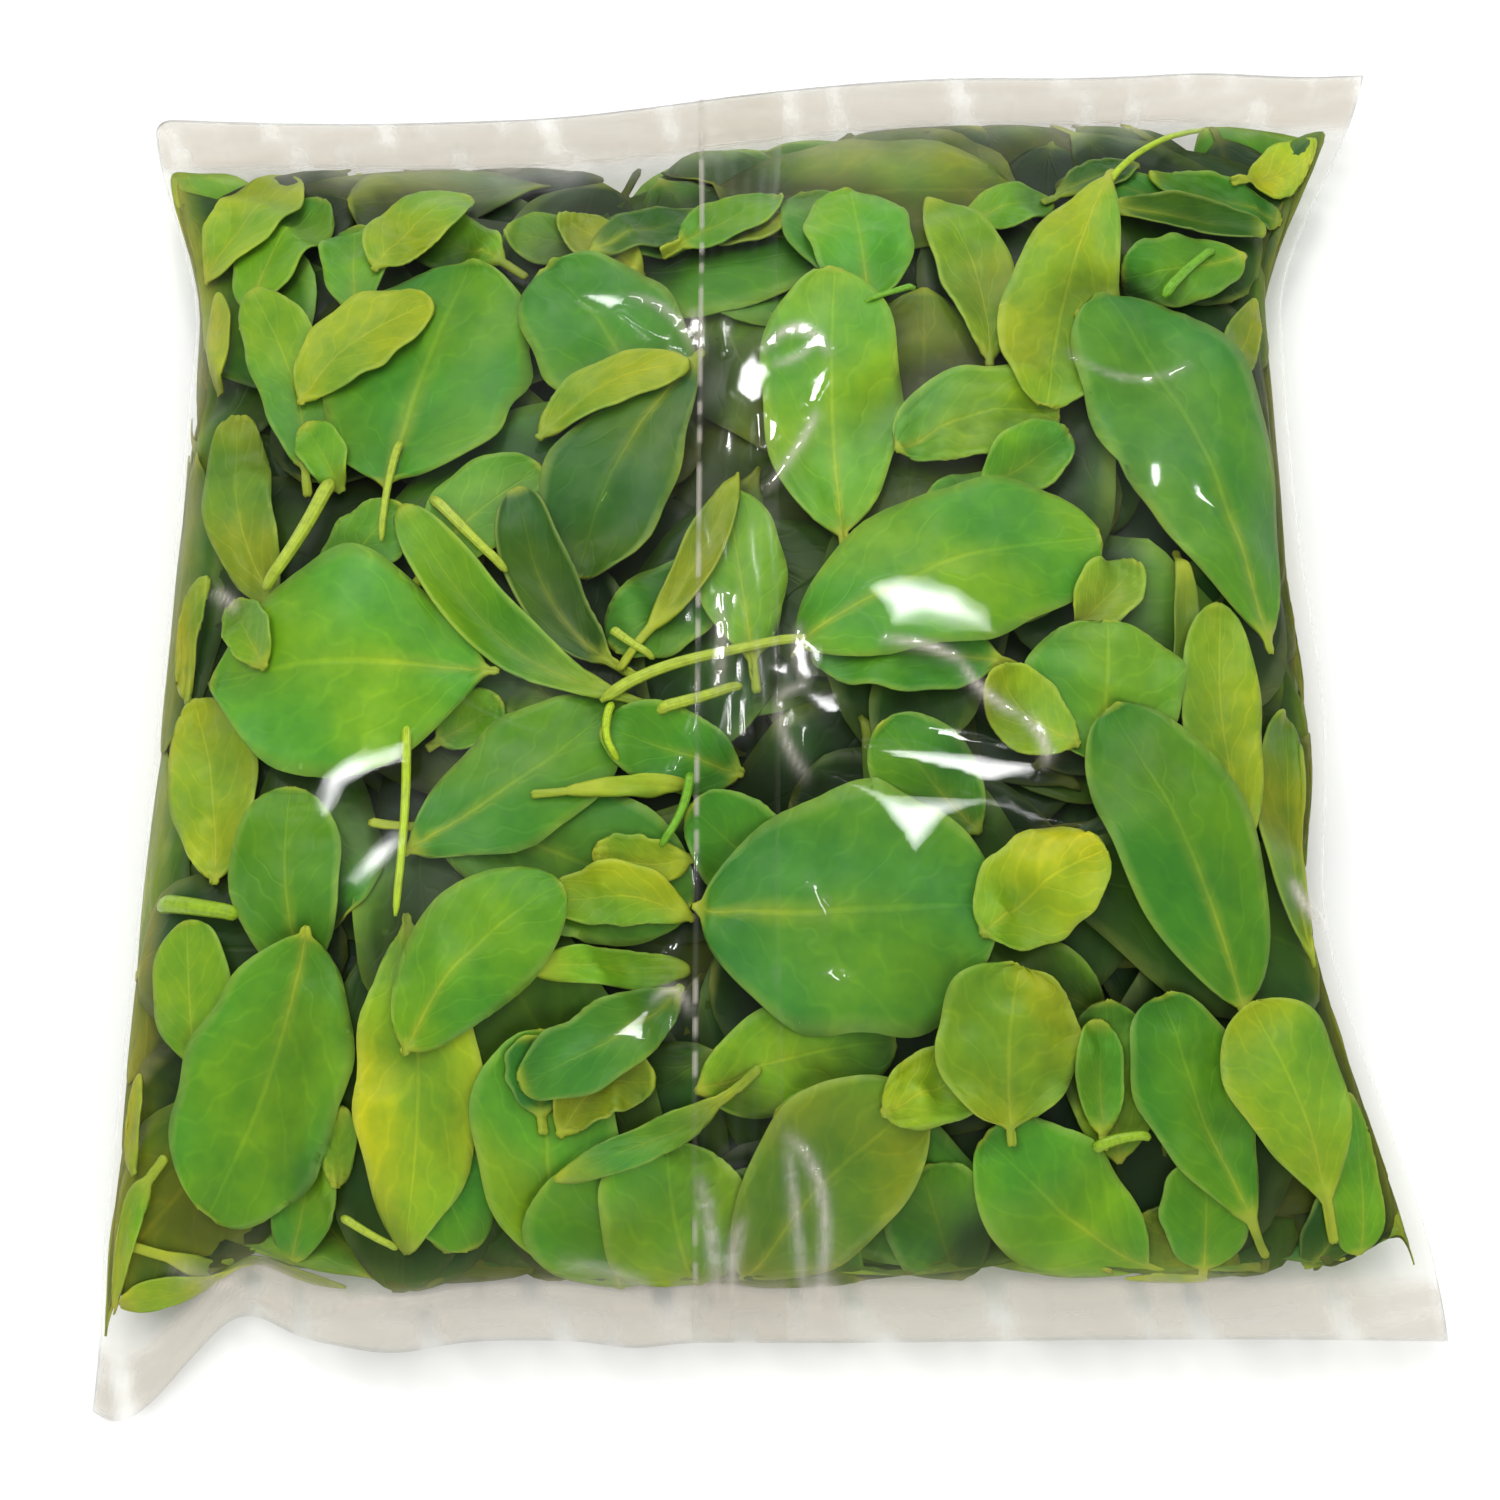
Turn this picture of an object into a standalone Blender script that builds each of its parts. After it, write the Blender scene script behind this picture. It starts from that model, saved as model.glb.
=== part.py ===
"""A sealed clear pillow bag of baby spinach, lying on its face with the back seam up.

The bag is one tube of film: its two long edges are joined by the back seam, whose fin is folded
flat on the bag, and its ends are closed by a crimped seal. The leaves fill it, so the solid is the
whole filled bag. +X runs across the bag, +Y towards its top seal and +Z up from the table. The
origin is on the table, below the middle of the bag's box. Lengths are in metres.
"""

import math

import bmesh
import bpy

# Driving dimensions
LENGTH = 0.271
FILLED_HEIGHT = 0.058
SEAL_BAND = 0.0115
SHEET = 0.0011
FIN_WIDTH = 0.0165
FIN_MIDDLE = -0.0038
FIN_STAND = 0.0009
FIN_WALL = 0.0005

# The long sides: half widths at mid length, and how they spread towards the seals
WAIST_LEFT, TAPER_LEFT, SPREAD_LEFT = 0.1225, 0.0055, 0.0030
WAIST_RIGHT, BELLY_RIGHT = 0.1125, 0.0040
FLARE_TOP_LEFT, FLARE_TOP_RIGHT, FLARE_FOOT_RIGHT = 0.0130, 0.0220, 0.0230

# The free edges of the seals, and how high the seals and side folds lie above the table
TOP_EDGE_RISE, TOP_CORNER_DIP = 0.0115, 0.0038
EAR_LENGTH, EAR_NOTCH, EAR_DROOP = 0.0140, 0.0060, 0.0085
FOOT_SAG = 0.0025
SEAL_HEIGHT, SEAL_WAVE = 0.0125, 0.0018
CORNER_LIFT = 0.0045
SIDE_FOLD_RISE = 0.0100

# The lumps that the leaves press into the film, and the furrow along the back seam
LUMP_HEIGHT = 0.0012
LUMP_WAVES = ((52.0, 0.3, 0.4), (71.0, 1.25, 1.9), (95.0, 2.2, 3.1), (118.0, 2.75, 5.0))
FURROW_DEPTH, FURROW_WIDTH = 0.0030, 0.015

# How round the filled bag is across and along, and how much of its underside rests flat
SIDE_POWER, SIDE_ROOT = 3.0, 0.5
END_POWER, END_ROOT = 2.4, 0.75
REST_SHARE = 0.42

# The net of the solid: cells beside the fin and on it, between the seals and on a seal
CELLS_BESIDE, CELLS_ON_FIN = 18, 3
CELLS_BETWEEN, CELLS_ON_SEAL = 40, 2

LEAF_GREEN = (0.13, 0.30, 0.045, 1.0)


def smooth(value):
    """0 up to 0, 1 from 1 on, and an S-curve between."""
    t = min(1.0, max(0.0, value))
    return t * t * (3.0 - 2.0 * t)


def bump(value, middle, width):
    """A bell of height 1 around middle."""
    return math.exp(-(((value - middle) / width) ** 2))


def left_edge(v):
    """x of the left side fold, which widens to the foot and flares at the top seal."""
    flare = FLARE_TOP_LEFT * smooth((v - 0.60) / 0.42)
    return -(WAIST_LEFT - TAPER_LEFT * v + SPREAD_LEFT * v * v + flare)


def right_edge(v):
    """x of the right side fold, which bellies out below its neck and flares at both seals."""
    top = FLARE_TOP_RIGHT * smooth((v - 0.56) / 0.50)
    foot = FLARE_FOOT_RIGHT * smooth((-v - 0.30) / 0.72)
    return WAIST_RIGHT + top + foot + BELLY_RIGHT * bump(v, -0.12, 0.25)


def top_edge(u):
    """y of the top seal's free edge, which rises to the right and dips at its corner."""
    rise = TOP_EDGE_RISE * smooth((u + 0.38) / 0.82)
    return LENGTH / 2 + rise - TOP_CORNER_DIP * smooth((u - 0.70) / 0.25)


def foot_edge(u):
    """y of the bottom seal's free edge, with the ear that sticks out at its left corner."""
    ear = EAR_LENGTH * bump(u, -0.96, 0.10) - EAR_NOTCH * bump(u, -0.765, 0.075)
    sag = FOOT_SAG * (bump(u, -0.53, 0.09) + 0.5 * bump(u, -0.16, 0.06))
    return -LENGTH / 2 - ear - sag


def rim_height(u, v):
    """Height of the seals and side folds, half way between the two sheets."""
    inner = min(1.0, abs(v) / seal_line())
    height = SEAL_HEIGHT + SIDE_FOLD_RISE * (1.0 - inner**2)
    ends = abs(v) ** 8
    height += SEAL_WAVE * ends * math.sin(5.3 * u + 2.0 * v)
    height -= EAR_DROOP * bump(u, -1.0, 0.30) * smooth((-v - 0.72) / 0.28)
    height += CORNER_LIFT * bump(u, 1.0, 0.25) * smooth((v - 0.72) / 0.28)
    return height


def seal_line():
    """v of the line where a seal begins."""
    return 1.0 - 2.0 * SEAL_BAND / LENGTH


def fullness(u, v):
    """0 at the seals and side folds, and 1 in the middle of the bag."""
    inner = min(1.0, abs(v) / seal_line())
    across = (1.0 - abs(u) ** SIDE_POWER) ** SIDE_ROOT
    along = (1.0 - inner**END_POWER) ** END_ROOT
    return across * along


def relief(x, y):
    """Lumps of the leaves under the film, less the furrow that the back seam draws in."""
    lumps = sum(
        math.sin(pitch * (x * math.cos(turn) + y * math.sin(turn)) + start)
        for pitch, turn, start in LUMP_WAVES
    )
    return LUMP_HEIGHT * lumps - FURROW_DEPTH * bump(x, FIN_MIDDLE, FURROW_WIDTH)


def bag_point(u, v, upper):
    """A point of the upper or lower sheet, for u and v from -1 to 1 across and along the bag.

    The back seam's middle is at u = 0, so the seam stays straight where the sides curve.
    """
    edge = right_edge(v) if u > 0.0 else left_edge(v)
    x = FIN_MIDDLE + abs(u) * (edge - FIN_MIDDLE)
    y = (foot_edge(u) * (1.0 - v) + top_edge(u) * (1.0 + v)) / 2.0
    full = fullness(u, v)
    rim = rim_height(u, v)
    if upper:
        z = rim + (FILLED_HEIGHT - rim) * full + SHEET / 2.0
        z += relief(x, y) * smooth(full / 0.6)
    else:
        z = (rim - SHEET / 2.0) * (1.0 - smooth(full / REST_SHARE))
    return x, y, z


def spaced(stops, counts):
    """Values from the first stop to the last, each stretch cut into its count of even cells."""
    values = [stops[0]]
    for start, end, count in zip(stops, stops[1:], counts):
        values += [start + (end - start) * step / count for step in range(1, count + 1)]
    return values


def columns():
    """u of the net's columns, with one just beside and one just on each edge of the fin."""
    half_width = (WAIST_LEFT + WAIST_RIGHT) / 2.0
    outer = FIN_WIDTH / 2.0 / half_width
    inner = outer - FIN_WALL / half_width
    stops = (-1.0, -outer, -inner, inner, outer, 1.0)
    return spaced(stops, (CELLS_BESIDE, 1, CELLS_ON_FIN, 1, CELLS_BESIDE))


def rows():
    """v of the net's rows, with one on each line where a seal begins."""
    stops = (-1.0, -seal_line(), seal_line(), 1.0)
    return spaced(stops, (CELLS_ON_SEAL, CELLS_BETWEEN, CELLS_ON_SEAL))


def filled_bag(collection):
    """Both sheets of film with the heap of leaves between them, as one closed solid."""
    across, along = columns(), rows()
    on_fin = range(CELLS_BESIDE + 1, CELLS_BESIDE + CELLS_ON_FIN + 2)
    net = bmesh.new()
    bmesh.ops.create_grid(net, x_segments=len(across) - 1, y_segments=len(along) - 1, size=1.0)
    lower = set(net.verts)
    bmesh.ops.extrude_face_region(net, geom=list(net.faces))
    for vertex in net.verts:
        column = round((vertex.co.x + 1.0) / 2.0 * (len(across) - 1))
        row = round((vertex.co.y + 1.0) / 2.0 * (len(along) - 1))
        upper = vertex not in lower
        x, y, z = bag_point(across[column], along[row], upper)
        if upper and column in on_fin:
            z += FIN_STAND
        vertex.co = (x, y, z)
    bmesh.ops.recalc_face_normals(net, faces=list(net.faces))
    mesh = bpy.data.meshes.new("spinach_bag")
    net.to_mesh(mesh)
    net.free()
    bag = bpy.data.objects.new("spinach_bag", mesh)
    collection.objects.link(bag)
    return bag


def film_material():
    """Glossy clear film, in the green of the leaves that show through it."""
    material = bpy.data.materials.new("film_over_leaves")
    material.use_nodes = True
    shader = material.node_tree.nodes["Principled BSDF"]
    shader.inputs["Base Color"].default_value = LEAF_GREEN
    shader.inputs["Roughness"].default_value = 0.25
    shader.inputs["Metallic"].default_value = 0.0
    shader.inputs["Coat Weight"].default_value = 1.0
    return material


def centre_on_table(bag):
    """Moves the solid so that the origin is below the middle of its box, on the table."""
    corners = [vertex.co for vertex in bag.data.vertices]
    middle_x = (min(c.x for c in corners) + max(c.x for c in corners)) / 2.0
    middle_y = (min(c.y for c in corners) + max(c.y for c in corners)) / 2.0
    for vertex in bag.data.vertices:
        vertex.co.x -= middle_x
        vertex.co.y -= middle_y


def clear_scene():
    for item in list(bpy.data.objects):
        bpy.data.objects.remove(item)


def new_collection(name):
    made = bpy.data.collections.new(name)
    bpy.context.scene.collection.children.link(made)
    return made


def main():
    clear_scene()
    bag = filled_bag(new_collection("bag_of_spinach"))
    centre_on_table(bag)
    bag.data.materials.append(film_material())
    bag.data.shade_smooth()


main()
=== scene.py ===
import functools
import math

import bpy
import numpy as np
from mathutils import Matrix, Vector


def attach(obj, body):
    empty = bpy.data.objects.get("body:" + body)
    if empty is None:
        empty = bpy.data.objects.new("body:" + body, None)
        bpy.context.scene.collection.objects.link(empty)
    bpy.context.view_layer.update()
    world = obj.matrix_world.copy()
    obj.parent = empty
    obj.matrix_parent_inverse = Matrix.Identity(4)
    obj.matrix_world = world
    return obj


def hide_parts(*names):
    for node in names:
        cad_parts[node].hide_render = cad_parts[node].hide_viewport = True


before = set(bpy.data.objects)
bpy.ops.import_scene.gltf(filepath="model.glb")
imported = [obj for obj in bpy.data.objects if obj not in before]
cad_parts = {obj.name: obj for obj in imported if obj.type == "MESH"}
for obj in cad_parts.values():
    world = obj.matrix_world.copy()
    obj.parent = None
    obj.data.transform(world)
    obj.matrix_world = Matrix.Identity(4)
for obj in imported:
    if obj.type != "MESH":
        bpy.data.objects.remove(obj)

bl_info = {
    "name": "Bag of spinach",
    "version": (1, 0, 0),
    "blender": (4, 5, 0),
    "location": "3D View > Sidebar > Spinach",
    "description": "Clear pillow bag of loose baby spinach, lying with its back seam up",
    "category": "Add Mesh",
}

# The bag's own form, in metres, as its solid has it
LENGTH = 0.271
SEAL_BAND = 0.0115
SHEET = 0.0011
FIN_WIDTH = 0.0165
FIN_MIDDLE = -0.0038
WAIST_LEFT, TAPER_LEFT, SPREAD_LEFT = 0.1225, 0.0055, 0.0030
WAIST_RIGHT, BELLY_RIGHT = 0.1125, 0.0040
FLARE_TOP_LEFT, FLARE_TOP_RIGHT, FLARE_FOOT_RIGHT = 0.0130, 0.0220, 0.0230
TOP_EDGE_RISE, TOP_CORNER_DIP = 0.0115, 0.0038
EAR_LENGTH, EAR_NOTCH, EAR_DROOP = 0.0140, 0.0060, 0.0085
FOOT_SAG = 0.0025
SEAL_HEIGHT, SEAL_WAVE = 0.0125, 0.0018
CORNER_LIFT = 0.0045
SIDE_FOLD_RISE = 0.0100
LUMP_HEIGHT = 0.0012
LUMP_WAVES = ((52.0, 0.3, 0.4), (71.0, 1.25, 1.9), (95.0, 2.2, 3.1), (118.0, 2.75, 5.0))
FURROW_DEPTH, FURROW_WIDTH = 0.0030, 0.015
SIDE_POWER, SIDE_ROOT = 3.0, 0.5
END_POWER, END_ROOT = 2.4, 0.75
REST_SHARE = 0.42
BEYOND_FOLD = 1.25
CORNER_ROUND = 0.004

# The camera: where it looks, from how high and how far, and which pixel of the photograph it
# looks at
PHOTO_SIDE = 1500
AIM = (-0.0012, -0.0123, 0.025)
AIM_PIXEL = (757, 735)
ELEVATION = math.radians(70)
DISTANCE = 0.750
FOCAL_PIXELS = 3675
FIRST_HEIGHT, SIGHT_ROUNDS, PLAN_ROUNDS = 0.045, 8, 5
SENSOR_MM = 36.0

# Leaves that show, lowest first: the pixels of the blade's base and tip, its width in pixels, its
# tone and how far it rolls up (radians at the edge, negative rolls down). Where these aren't none
# and oval, how far it bends and its outline follow.
LEAVES = (
    # upper left
    (214, 372, 214, 285, 34, "olive", 0.6),
    (250, 300, 318, 182, 88, "mid", 0.3, 0.05),
    (195, 278, 288, 162, 92, "light", 0.5, -0.05),
    (352, 300, 352, 205, 70, "mid", 0.3),
    (375, 262, 470, 186, 92, "light", 0.8, 0.1),
    (272, 592, 236, 400, 74, "olive", 0.4, 0.08),
    (298, 462, 250, 285, 78, "fresh", 0.4, -0.06),
    (318, 575, 402, 498, 78, "fresh", 0.4),
    (430, 560, 540, 455, 92, "mid", 0.3, 0.05),
    (386, 474, 470, 256, 212, "dark", -0.25, 0.02, "round"),
    (338, 478, 303, 412, 50, "mid", 0.5),
    (300, 392, 432, 296, 92, "light", 0.45, 0.1),
    # upper middle
    (640, 260, 560, 205, 60, "olive", 0.7),
    (590, 245, 705, 198, 58, "deep", 0.5),
    (680, 235, 780, 185, 70, "mid", 0.4),
    (960, 215, 1055, 180, 60, "fresh", 0.4),
    (1060, 180, 1140, 148, 50, "deep", 0.4),
    (870, 292, 850, 180, 112, "mid", 0.3),
    (990, 348, 928, 188, 84, "light", 0.5, -0.08, "lance"),
    (655, 420, 545, 258, 160, "dark", -0.35, -0.05),
    (520, 545, 600, 452, 72, "mid", 0.5),
    (700, 345, 575, 562, 130, "deep", 0.3, -0.06, "spoon"),
    (620, 640, 515, 480, 80, "deep", 1.1, 0.12),
    (540, 428, 690, 358, 62, "light", 0.5, 0.12),
    (640, 625, 737, 465, 46, "olive", 0.9, -0.05, "lance"),
    (850, 522, 835, 262, 146, "fresh", 0.35, 0.03),
    (900, 445, 1062, 398, 108, "fresh", 0.7, 0.1, "crumpled"),
    (985, 480, 1072, 420, 70, "mid", 0.8),
    # upper right
    (1300, 215, 1150, 165, 56, "dark", 0.5),
    (1252, 170, 1345, 150, 76, "lime", 0.6),
    (1110, 205, 1272, 228, 56, "deep", 1.1, 0.05),
    (1112, 168, 1048, 398, 124, "light", 0.45, -0.04, "spoon"),
    (1225, 380, 1268, 292, 48, "olive", 0.7),
    (1080, 300, 1140, 350, 60, "dark", 0.3),
    # middle left
    (185, 690, 205, 570, 42, "olive", 0.9, 0.15),
    (210, 872, 190, 690, 96, "light", 0.4, -0.05),
    (190, 1055, 186, 918, 84, "fresh", 0.5),
    (435, 730, 500, 690, 60, "mid", 0.4),
    (490, 664, 205, 674, 232, "mid", -0.25, 0.0, "kite"),
    (262, 660, 228, 592, 54, "fresh", 0.9),
    (300, 965, 288, 778, 112, "dark", 0.35, 0.05),
    (430, 830, 690, 900, 150, "blue", -0.25, 0.05),
    (405, 842, 625, 684, 128, "dark", 0.3, -0.05, "lance"),
    (650, 675, 400, 502, 66, "fresh", 0.7, 0.12, "spoon"),
    # middle
    (740, 760, 600, 722, 80, "dark", 0.4),
    (1000, 652, 810, 640, 96, "dark", 0.3),
    (690, 850, 592, 842, 48, "light", 0.6, 0.1),
    (690, 910, 540, 896, 60, "light", 0.6, -0.1),
    (800, 880, 690, 800, 90, "dark", 0.4),
    (800, 642, 1102, 532, 168, "mid", -0.25, 0.06),
    (560, 788, 690, 776, 26, "fresh", 1.3),
    (520, 960, 690, 958, 40, "mid", 0.6),
    (700, 905, 1000, 895, 236, "blue", -0.25, -0.03),
    # right
    (1180, 540, 1185, 705, 34, "deep", 1.2, 0.04),
    (1325, 960, 1290, 700, 76, "olive", 0.7, 0.05),
    (1250, 835, 1222, 598, 84, "light", 0.45, 0.05),
    (1080, 612, 1140, 555, 62, "light", 0.4),
    (1105, 752, 1110, 612, 160, "mid", 0.3),
    (1080, 735, 1000, 660, 74, "lime", 0.5, 0.1),
    (985, 930, 1108, 842, 108, "lime", 0.5, 0.05, "round"),
    (1268, 640, 1105, 288, 190, "blue", -0.28, -0.05, "spoon"),
    (1242, 1003, 1112, 700, 148, "dark", 0.3, -0.03),
    # lower left
    (130, 1170, 132, 1070, 38, "olive", 0.9, 0.1),
    (290, 1265, 310, 1120, 66, "mid", 0.4),
    (332, 1180, 338, 1098, 38, "fresh", 0.6),
    (160, 1252, 345, 1302, 34, "deep", 0.8),
    (150, 1178, 92, 1312, 46, "mid", 0.6, -0.05),
    (245, 1305, 108, 1315, 34, "light", 0.7, -0.1),
    (445, 1245, 440, 1178, 50, "light", 0.5),
    (400, 1090, 470, 1245, 90, "dark", 0.3),
    (302, 928, 205, 1214, 162, "mid", -0.25, 0.05),
    (402, 910, 404, 1250, 124, "lime", 0.35, 0.05, "lance"),
    (560, 1262, 545, 1022, 142, "fresh", 0.3, 0.03),
    (405, 1045, 562, 880, 118, "mid", -0.3, 0.08),
    # lower middle
    (540, 1110, 530, 1030, 60, "blue", 0.5),
    (620, 1302, 600, 1150, 166, "dark", 0.3),
    (560, 1130, 655, 1075, 70, "olive", 0.9, 0.2),
    (700, 1302, 665, 1132, 150, "fresh", 0.3, 0.05),
    (678, 980, 518, 1082, 74, "blue", 0.4, 0.05),
    (722, 1085, 553, 1177, 40, "blue", 0.8, 0.05, "lance"),
    (745, 1288, 925, 1095, 140, "olive", 0.35, 0.06),
    (885, 1110, 1000, 1045, 76, "light", 0.5, 0.0, "crumpled"),
    (1085, 1260, 1010, 1130, 110, "dark", 0.3),
    (1150, 1262, 985, 1128, 126, "mid", 0.35, 0.04),
    (1015, 1120, 1022, 958, 152, "light", 0.7, 0.05, "crumpled"),
    # lower right
    (1205, 1272, 1210, 1150, 92, "dark", 0.3),
    (1105, 1130, 1100, 1010, 52, "mid", 0.7),
    (1310, 1280, 1365, 1180, 70, "deep", 0.8),
    (1365, 1275, 1362, 1088, 72, "mid", 0.4),
    (1260, 1222, 1165, 988, 114, "dark", 0.3, 0.04, "spoon"),
    (1326, 1202, 1252, 1000, 126, "light", 0.35, -0.04, "spoon"),
    (1130, 1292, 1212, 1296, 26, "mid", 0.5),
)

# Leaves that lie between the shown ones and the fillers and close the larger gaps, written as above
BETWEEN = (
    (500, 250, 400, 205, 74, "mid", 0.3),
    (606, 225, 504, 224, 66, "olive", 0.3, 0.05),
    (704, 222, 592, 218, 70, "dark", 0.3),
    (790, 212, 690, 212, 66, "olive", 0.2),
    (852, 272, 806, 178, 92, "dark", 0.3),
    (1180, 192, 1058, 166, 58, "dark", 0.3),
    (1244, 250, 1124, 262, 84, "dark", 0.3, 0.05),
    (1040, 530, 925, 492, 104, "mid", 0.3),
    (560, 700, 470, 600, 96, "fresh", 0.3),
    (720, 560, 612, 640, 92, "dark", 0.3),
    (752, 650, 728, 480, 92, "mid", 0.3),
    (980, 820, 880, 720, 100, "dark", 0.3),
    (700, 1085, 898, 1030, 104, "fresh", 0.3, 0.04),
    (1110, 1002, 948, 960, 86, "mid", 0.3, -0.05),
    (1122, 1152, 1108, 992, 96, "fresh", 0.3),
    (1002, 1204, 772, 1112, 136, "mid", 0.25, 0.05),
    (862, 1290, 700, 1200, 134, "fresh", 0.25),
    (962, 1292, 922, 1160, 104, "dark", 0.3),
    (1246, 1282, 1138, 1212, 84, "light", 0.2, 0.0, "kite"),
)

# Stalks that show: the pixels that each passes through, its width in pixels and its tone
STALKS = (
    ((400, 436), (388, 480), (380, 536), 9, "stalk"),
    ((330, 474), (300, 530), (262, 584), 16, "stalk"),
    ((430, 492), (468, 530), (506, 566), 12, "stalk"),
    ((916, 282), (890, 290), (864, 298), 7, "fresh"),
    ((1110, 176), (1150, 142), (1206, 120), 8, "lime"),
    ((1165, 290), (1192, 262), (1216, 244), 12, "fresh"),
    ((405, 718), (404, 810), (394, 912), 10, "lime"),
    ((600, 696), (700, 654), (812, 632), 13, "stalk"),
    ((655, 706), (700, 694), (742, 680), 13, "stalk"),
    ((690, 768), (682, 806), (660, 842), 10, "fresh"),
    ((612, 698), (606, 730), (618, 756), 9, "lime"),
    ((612, 626), (628, 638), (654, 654), 10, "stalk"),
    ((158, 900), (196, 904), (236, 910), 20, "light"),
    ((340, 1214), (368, 1232), (396, 1246), 9, "stalk"),
    ((1095, 1146), (1124, 1136), (1152, 1134), 12, "light"),
)

# Fine creases of the film: the pixels that each passes through, its width in millimetres and how
# far it stands out of the film, also in millimetres
CREASES = (
    ((630, 296), (668, 312), (694, 350), 1.6, 0.5),
    ((692, 312), (696, 326), (699, 352), 1.6, 0.5),
    ((764, 349), (798, 328), (828, 352), 1.8, 0.8),
    ((816, 413), (804, 438), (769, 489), 1.6, 0.6),
    ((774, 364), (797, 357), (815, 343), 1.4, 0.5),
    ((720, 592), (722, 646), (719, 689), 1.6, 0.5),
    ((885, 640), (928, 646), (962, 662), 1.6, 0.8),
    ((962, 662), (984, 692), (1020, 716), 1.6, 0.8),
    ((1020, 716), (1042, 738), (1046, 762), 1.6, 0.8),
    ((799, 626), (798, 653), (806, 684), 1.5, 0.5),
    ((779, 698), (786, 692), (806, 686), 1.5, 0.5),
    ((779, 698), (784, 736), (806, 778), 1.5, 0.6),
    ((654, 1001), (674, 990), (690, 1012), 1.5, 0.6),
    ((788, 1136), (822, 1200), (818, 1304), 2.0, 0.7),
    ((788, 1150), (796, 1215), (805, 1304), 1.6, 0.6),
    ((742, 1222), (732, 1262), (736, 1300), 2.0, 0.7),
    ((700, 1180), (712, 1240), (718, 1302), 2.0, 0.6),
    ((1217, 716), (1238, 740), (1258, 760), 2.6, 0.8),
    ((165, 1242), (190, 1252), (214, 1264), 2.2, 0.8),
    ((215, 592), (226, 600), (236, 610), 1.6, 0.7),
    ((172, 1268), (240, 1290), (300, 1318), 1.6, 0.5),
    ((300, 1318), (400, 1300), (450, 1332), 1.6, 0.4),
    ((560, 1262), (620, 1276), (652, 1292), 1.6, 0.3),
    ((1068, 352), (1130, 378), (1190, 366), 1.2, 0.35),
    ((1293, 882), (1304, 904), (1320, 926), 2.0, 0.9),
    ((480, 250), (520, 285), (560, 300), 3.0, 0.8),
    ((450, 690), (500, 720), (560, 735), 3.0, 0.9),
    ((1020, 960), (1080, 1000), (1140, 1090), 3.0, 0.8),
    ((880, 1060), (930, 1120), (950, 1200), 3.5, 0.9),
    ((430, 1080), (480, 1130), (500, 1200), 3.5, 0.9),
    ((240, 900), (262, 980), (250, 1060), 3.5, 0.9),
    ((1180, 1090), (1230, 1140), (1262, 1220), 3.0, 0.8),
)

# Flat facets of the film, each tilted to mirror a light: the pixels of its outline
FACETS = (
    # beside and on the upper back seam
    ((575, 299), (586, 290), (614, 291), (640, 298), (628, 308), (622, 319), (590, 308)),
    ((622, 312), (640, 326), (694, 350), (692, 355), (640, 335), (612, 318)),
    ((732, 394), (738, 366), (754, 350), (760, 362), (774, 364), (766, 384), (765, 405), (750, 411)),
    ((830, 362), (828, 384), (817, 412), (804, 409), (806, 394), (816, 378), (824, 362)),
    ((768, 414), (779, 426), (777, 443), (767, 454), (764, 436)),
    ((755, 412), (762, 414), (762, 454), (757, 460)),
    ((723, 322), (730, 322), (729, 354), (724, 354)),
    ((728, 424), (733, 426), (727, 456), (722, 454)),
    # on the middle of the seam
    ((731, 592), (738, 590), (729, 616), (726, 660), (720, 660), (723, 612)),
    ((684, 606), (691, 595), (690, 626), (680, 624)),
    ((692, 678), (699, 680), (698, 730), (690, 746), (688, 740), (694, 716)),
    ((681, 748), (688, 752), (677, 778), (668, 780), (672, 764)),
    ((734, 664), (741, 664), (736, 705), (734, 744), (721, 742), (726, 712)),
    ((739, 698), (745, 706), (751, 741), (738, 744)),
    ((772, 667), (790, 665), (788, 680), (774, 678)),
    ((803, 627), (808, 628), (814, 676), (808, 676)),
    ((811, 640), (819, 648), (818, 663), (813, 664)),
    ((804, 686), (818, 688), (842, 700), (848, 710), (842, 718), (828, 723), (816, 716), (808, 700)),
    ((786, 698), (798, 706), (805, 722), (809, 770), (804, 772), (797, 735)),
    # middle right
    ((856, 594), (872, 580), (900, 571), (960, 582), (992, 610), (1002, 643), (960, 632), (925, 624),
     (888, 637), (880, 615)),
    ((900, 714), (960, 733), (1034, 760), (1000, 760), (950, 746), (903, 726)),
    ((858, 748), (900, 744), (1047, 757), (1040, 775), (990, 792), (950, 780), (880, 764)),
    ((822, 780), (860, 785), (905, 797), (985, 795), (1100, 822), (1040, 823), (985, 812), (950, 828),
     (912, 882), (895, 850), (870, 815), (840, 797)),
    # left
    ((318, 772), (345, 752), (380, 745), (412, 735), (412, 770), (380, 776), (350, 790), (338, 815),
     (322, 830), (312, 812)),
    ((402, 822), (405, 838), (385, 862), (352, 890), (345, 884), (372, 850)),
    # lower seam
    ((693, 847), (700, 850), (698, 898), (692, 892)),
    ((802, 868), (812, 878), (830, 906), (830, 938), (822, 930), (812, 902)),
    ((683, 932), (682, 946), (671, 961), (664, 958), (672, 944)),
    ((602, 1036), (629, 1019), (655, 1000), (655, 1014), (648, 1026), (657, 1048), (634, 1047), (606, 1040)),
    ((676, 1002), (682, 1004), (674, 1038), (668, 1036)),
    ((772, 970), (780, 970), (777, 986)),
    ((820, 966), (837, 970), (853, 980), (836, 991), (828, 983)),
    ((723, 1146), (744, 1145), (744, 1153), (723, 1154)),
    ((723, 1163), (743, 1164), (743, 1169), (723, 1169)),
    # upper right
    ((1152, 466), (1158, 464), (1161, 488), (1155, 490)),
    ((1188, 478), (1197, 484), (1221, 510), (1216, 517), (1200, 503)),
)

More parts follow.
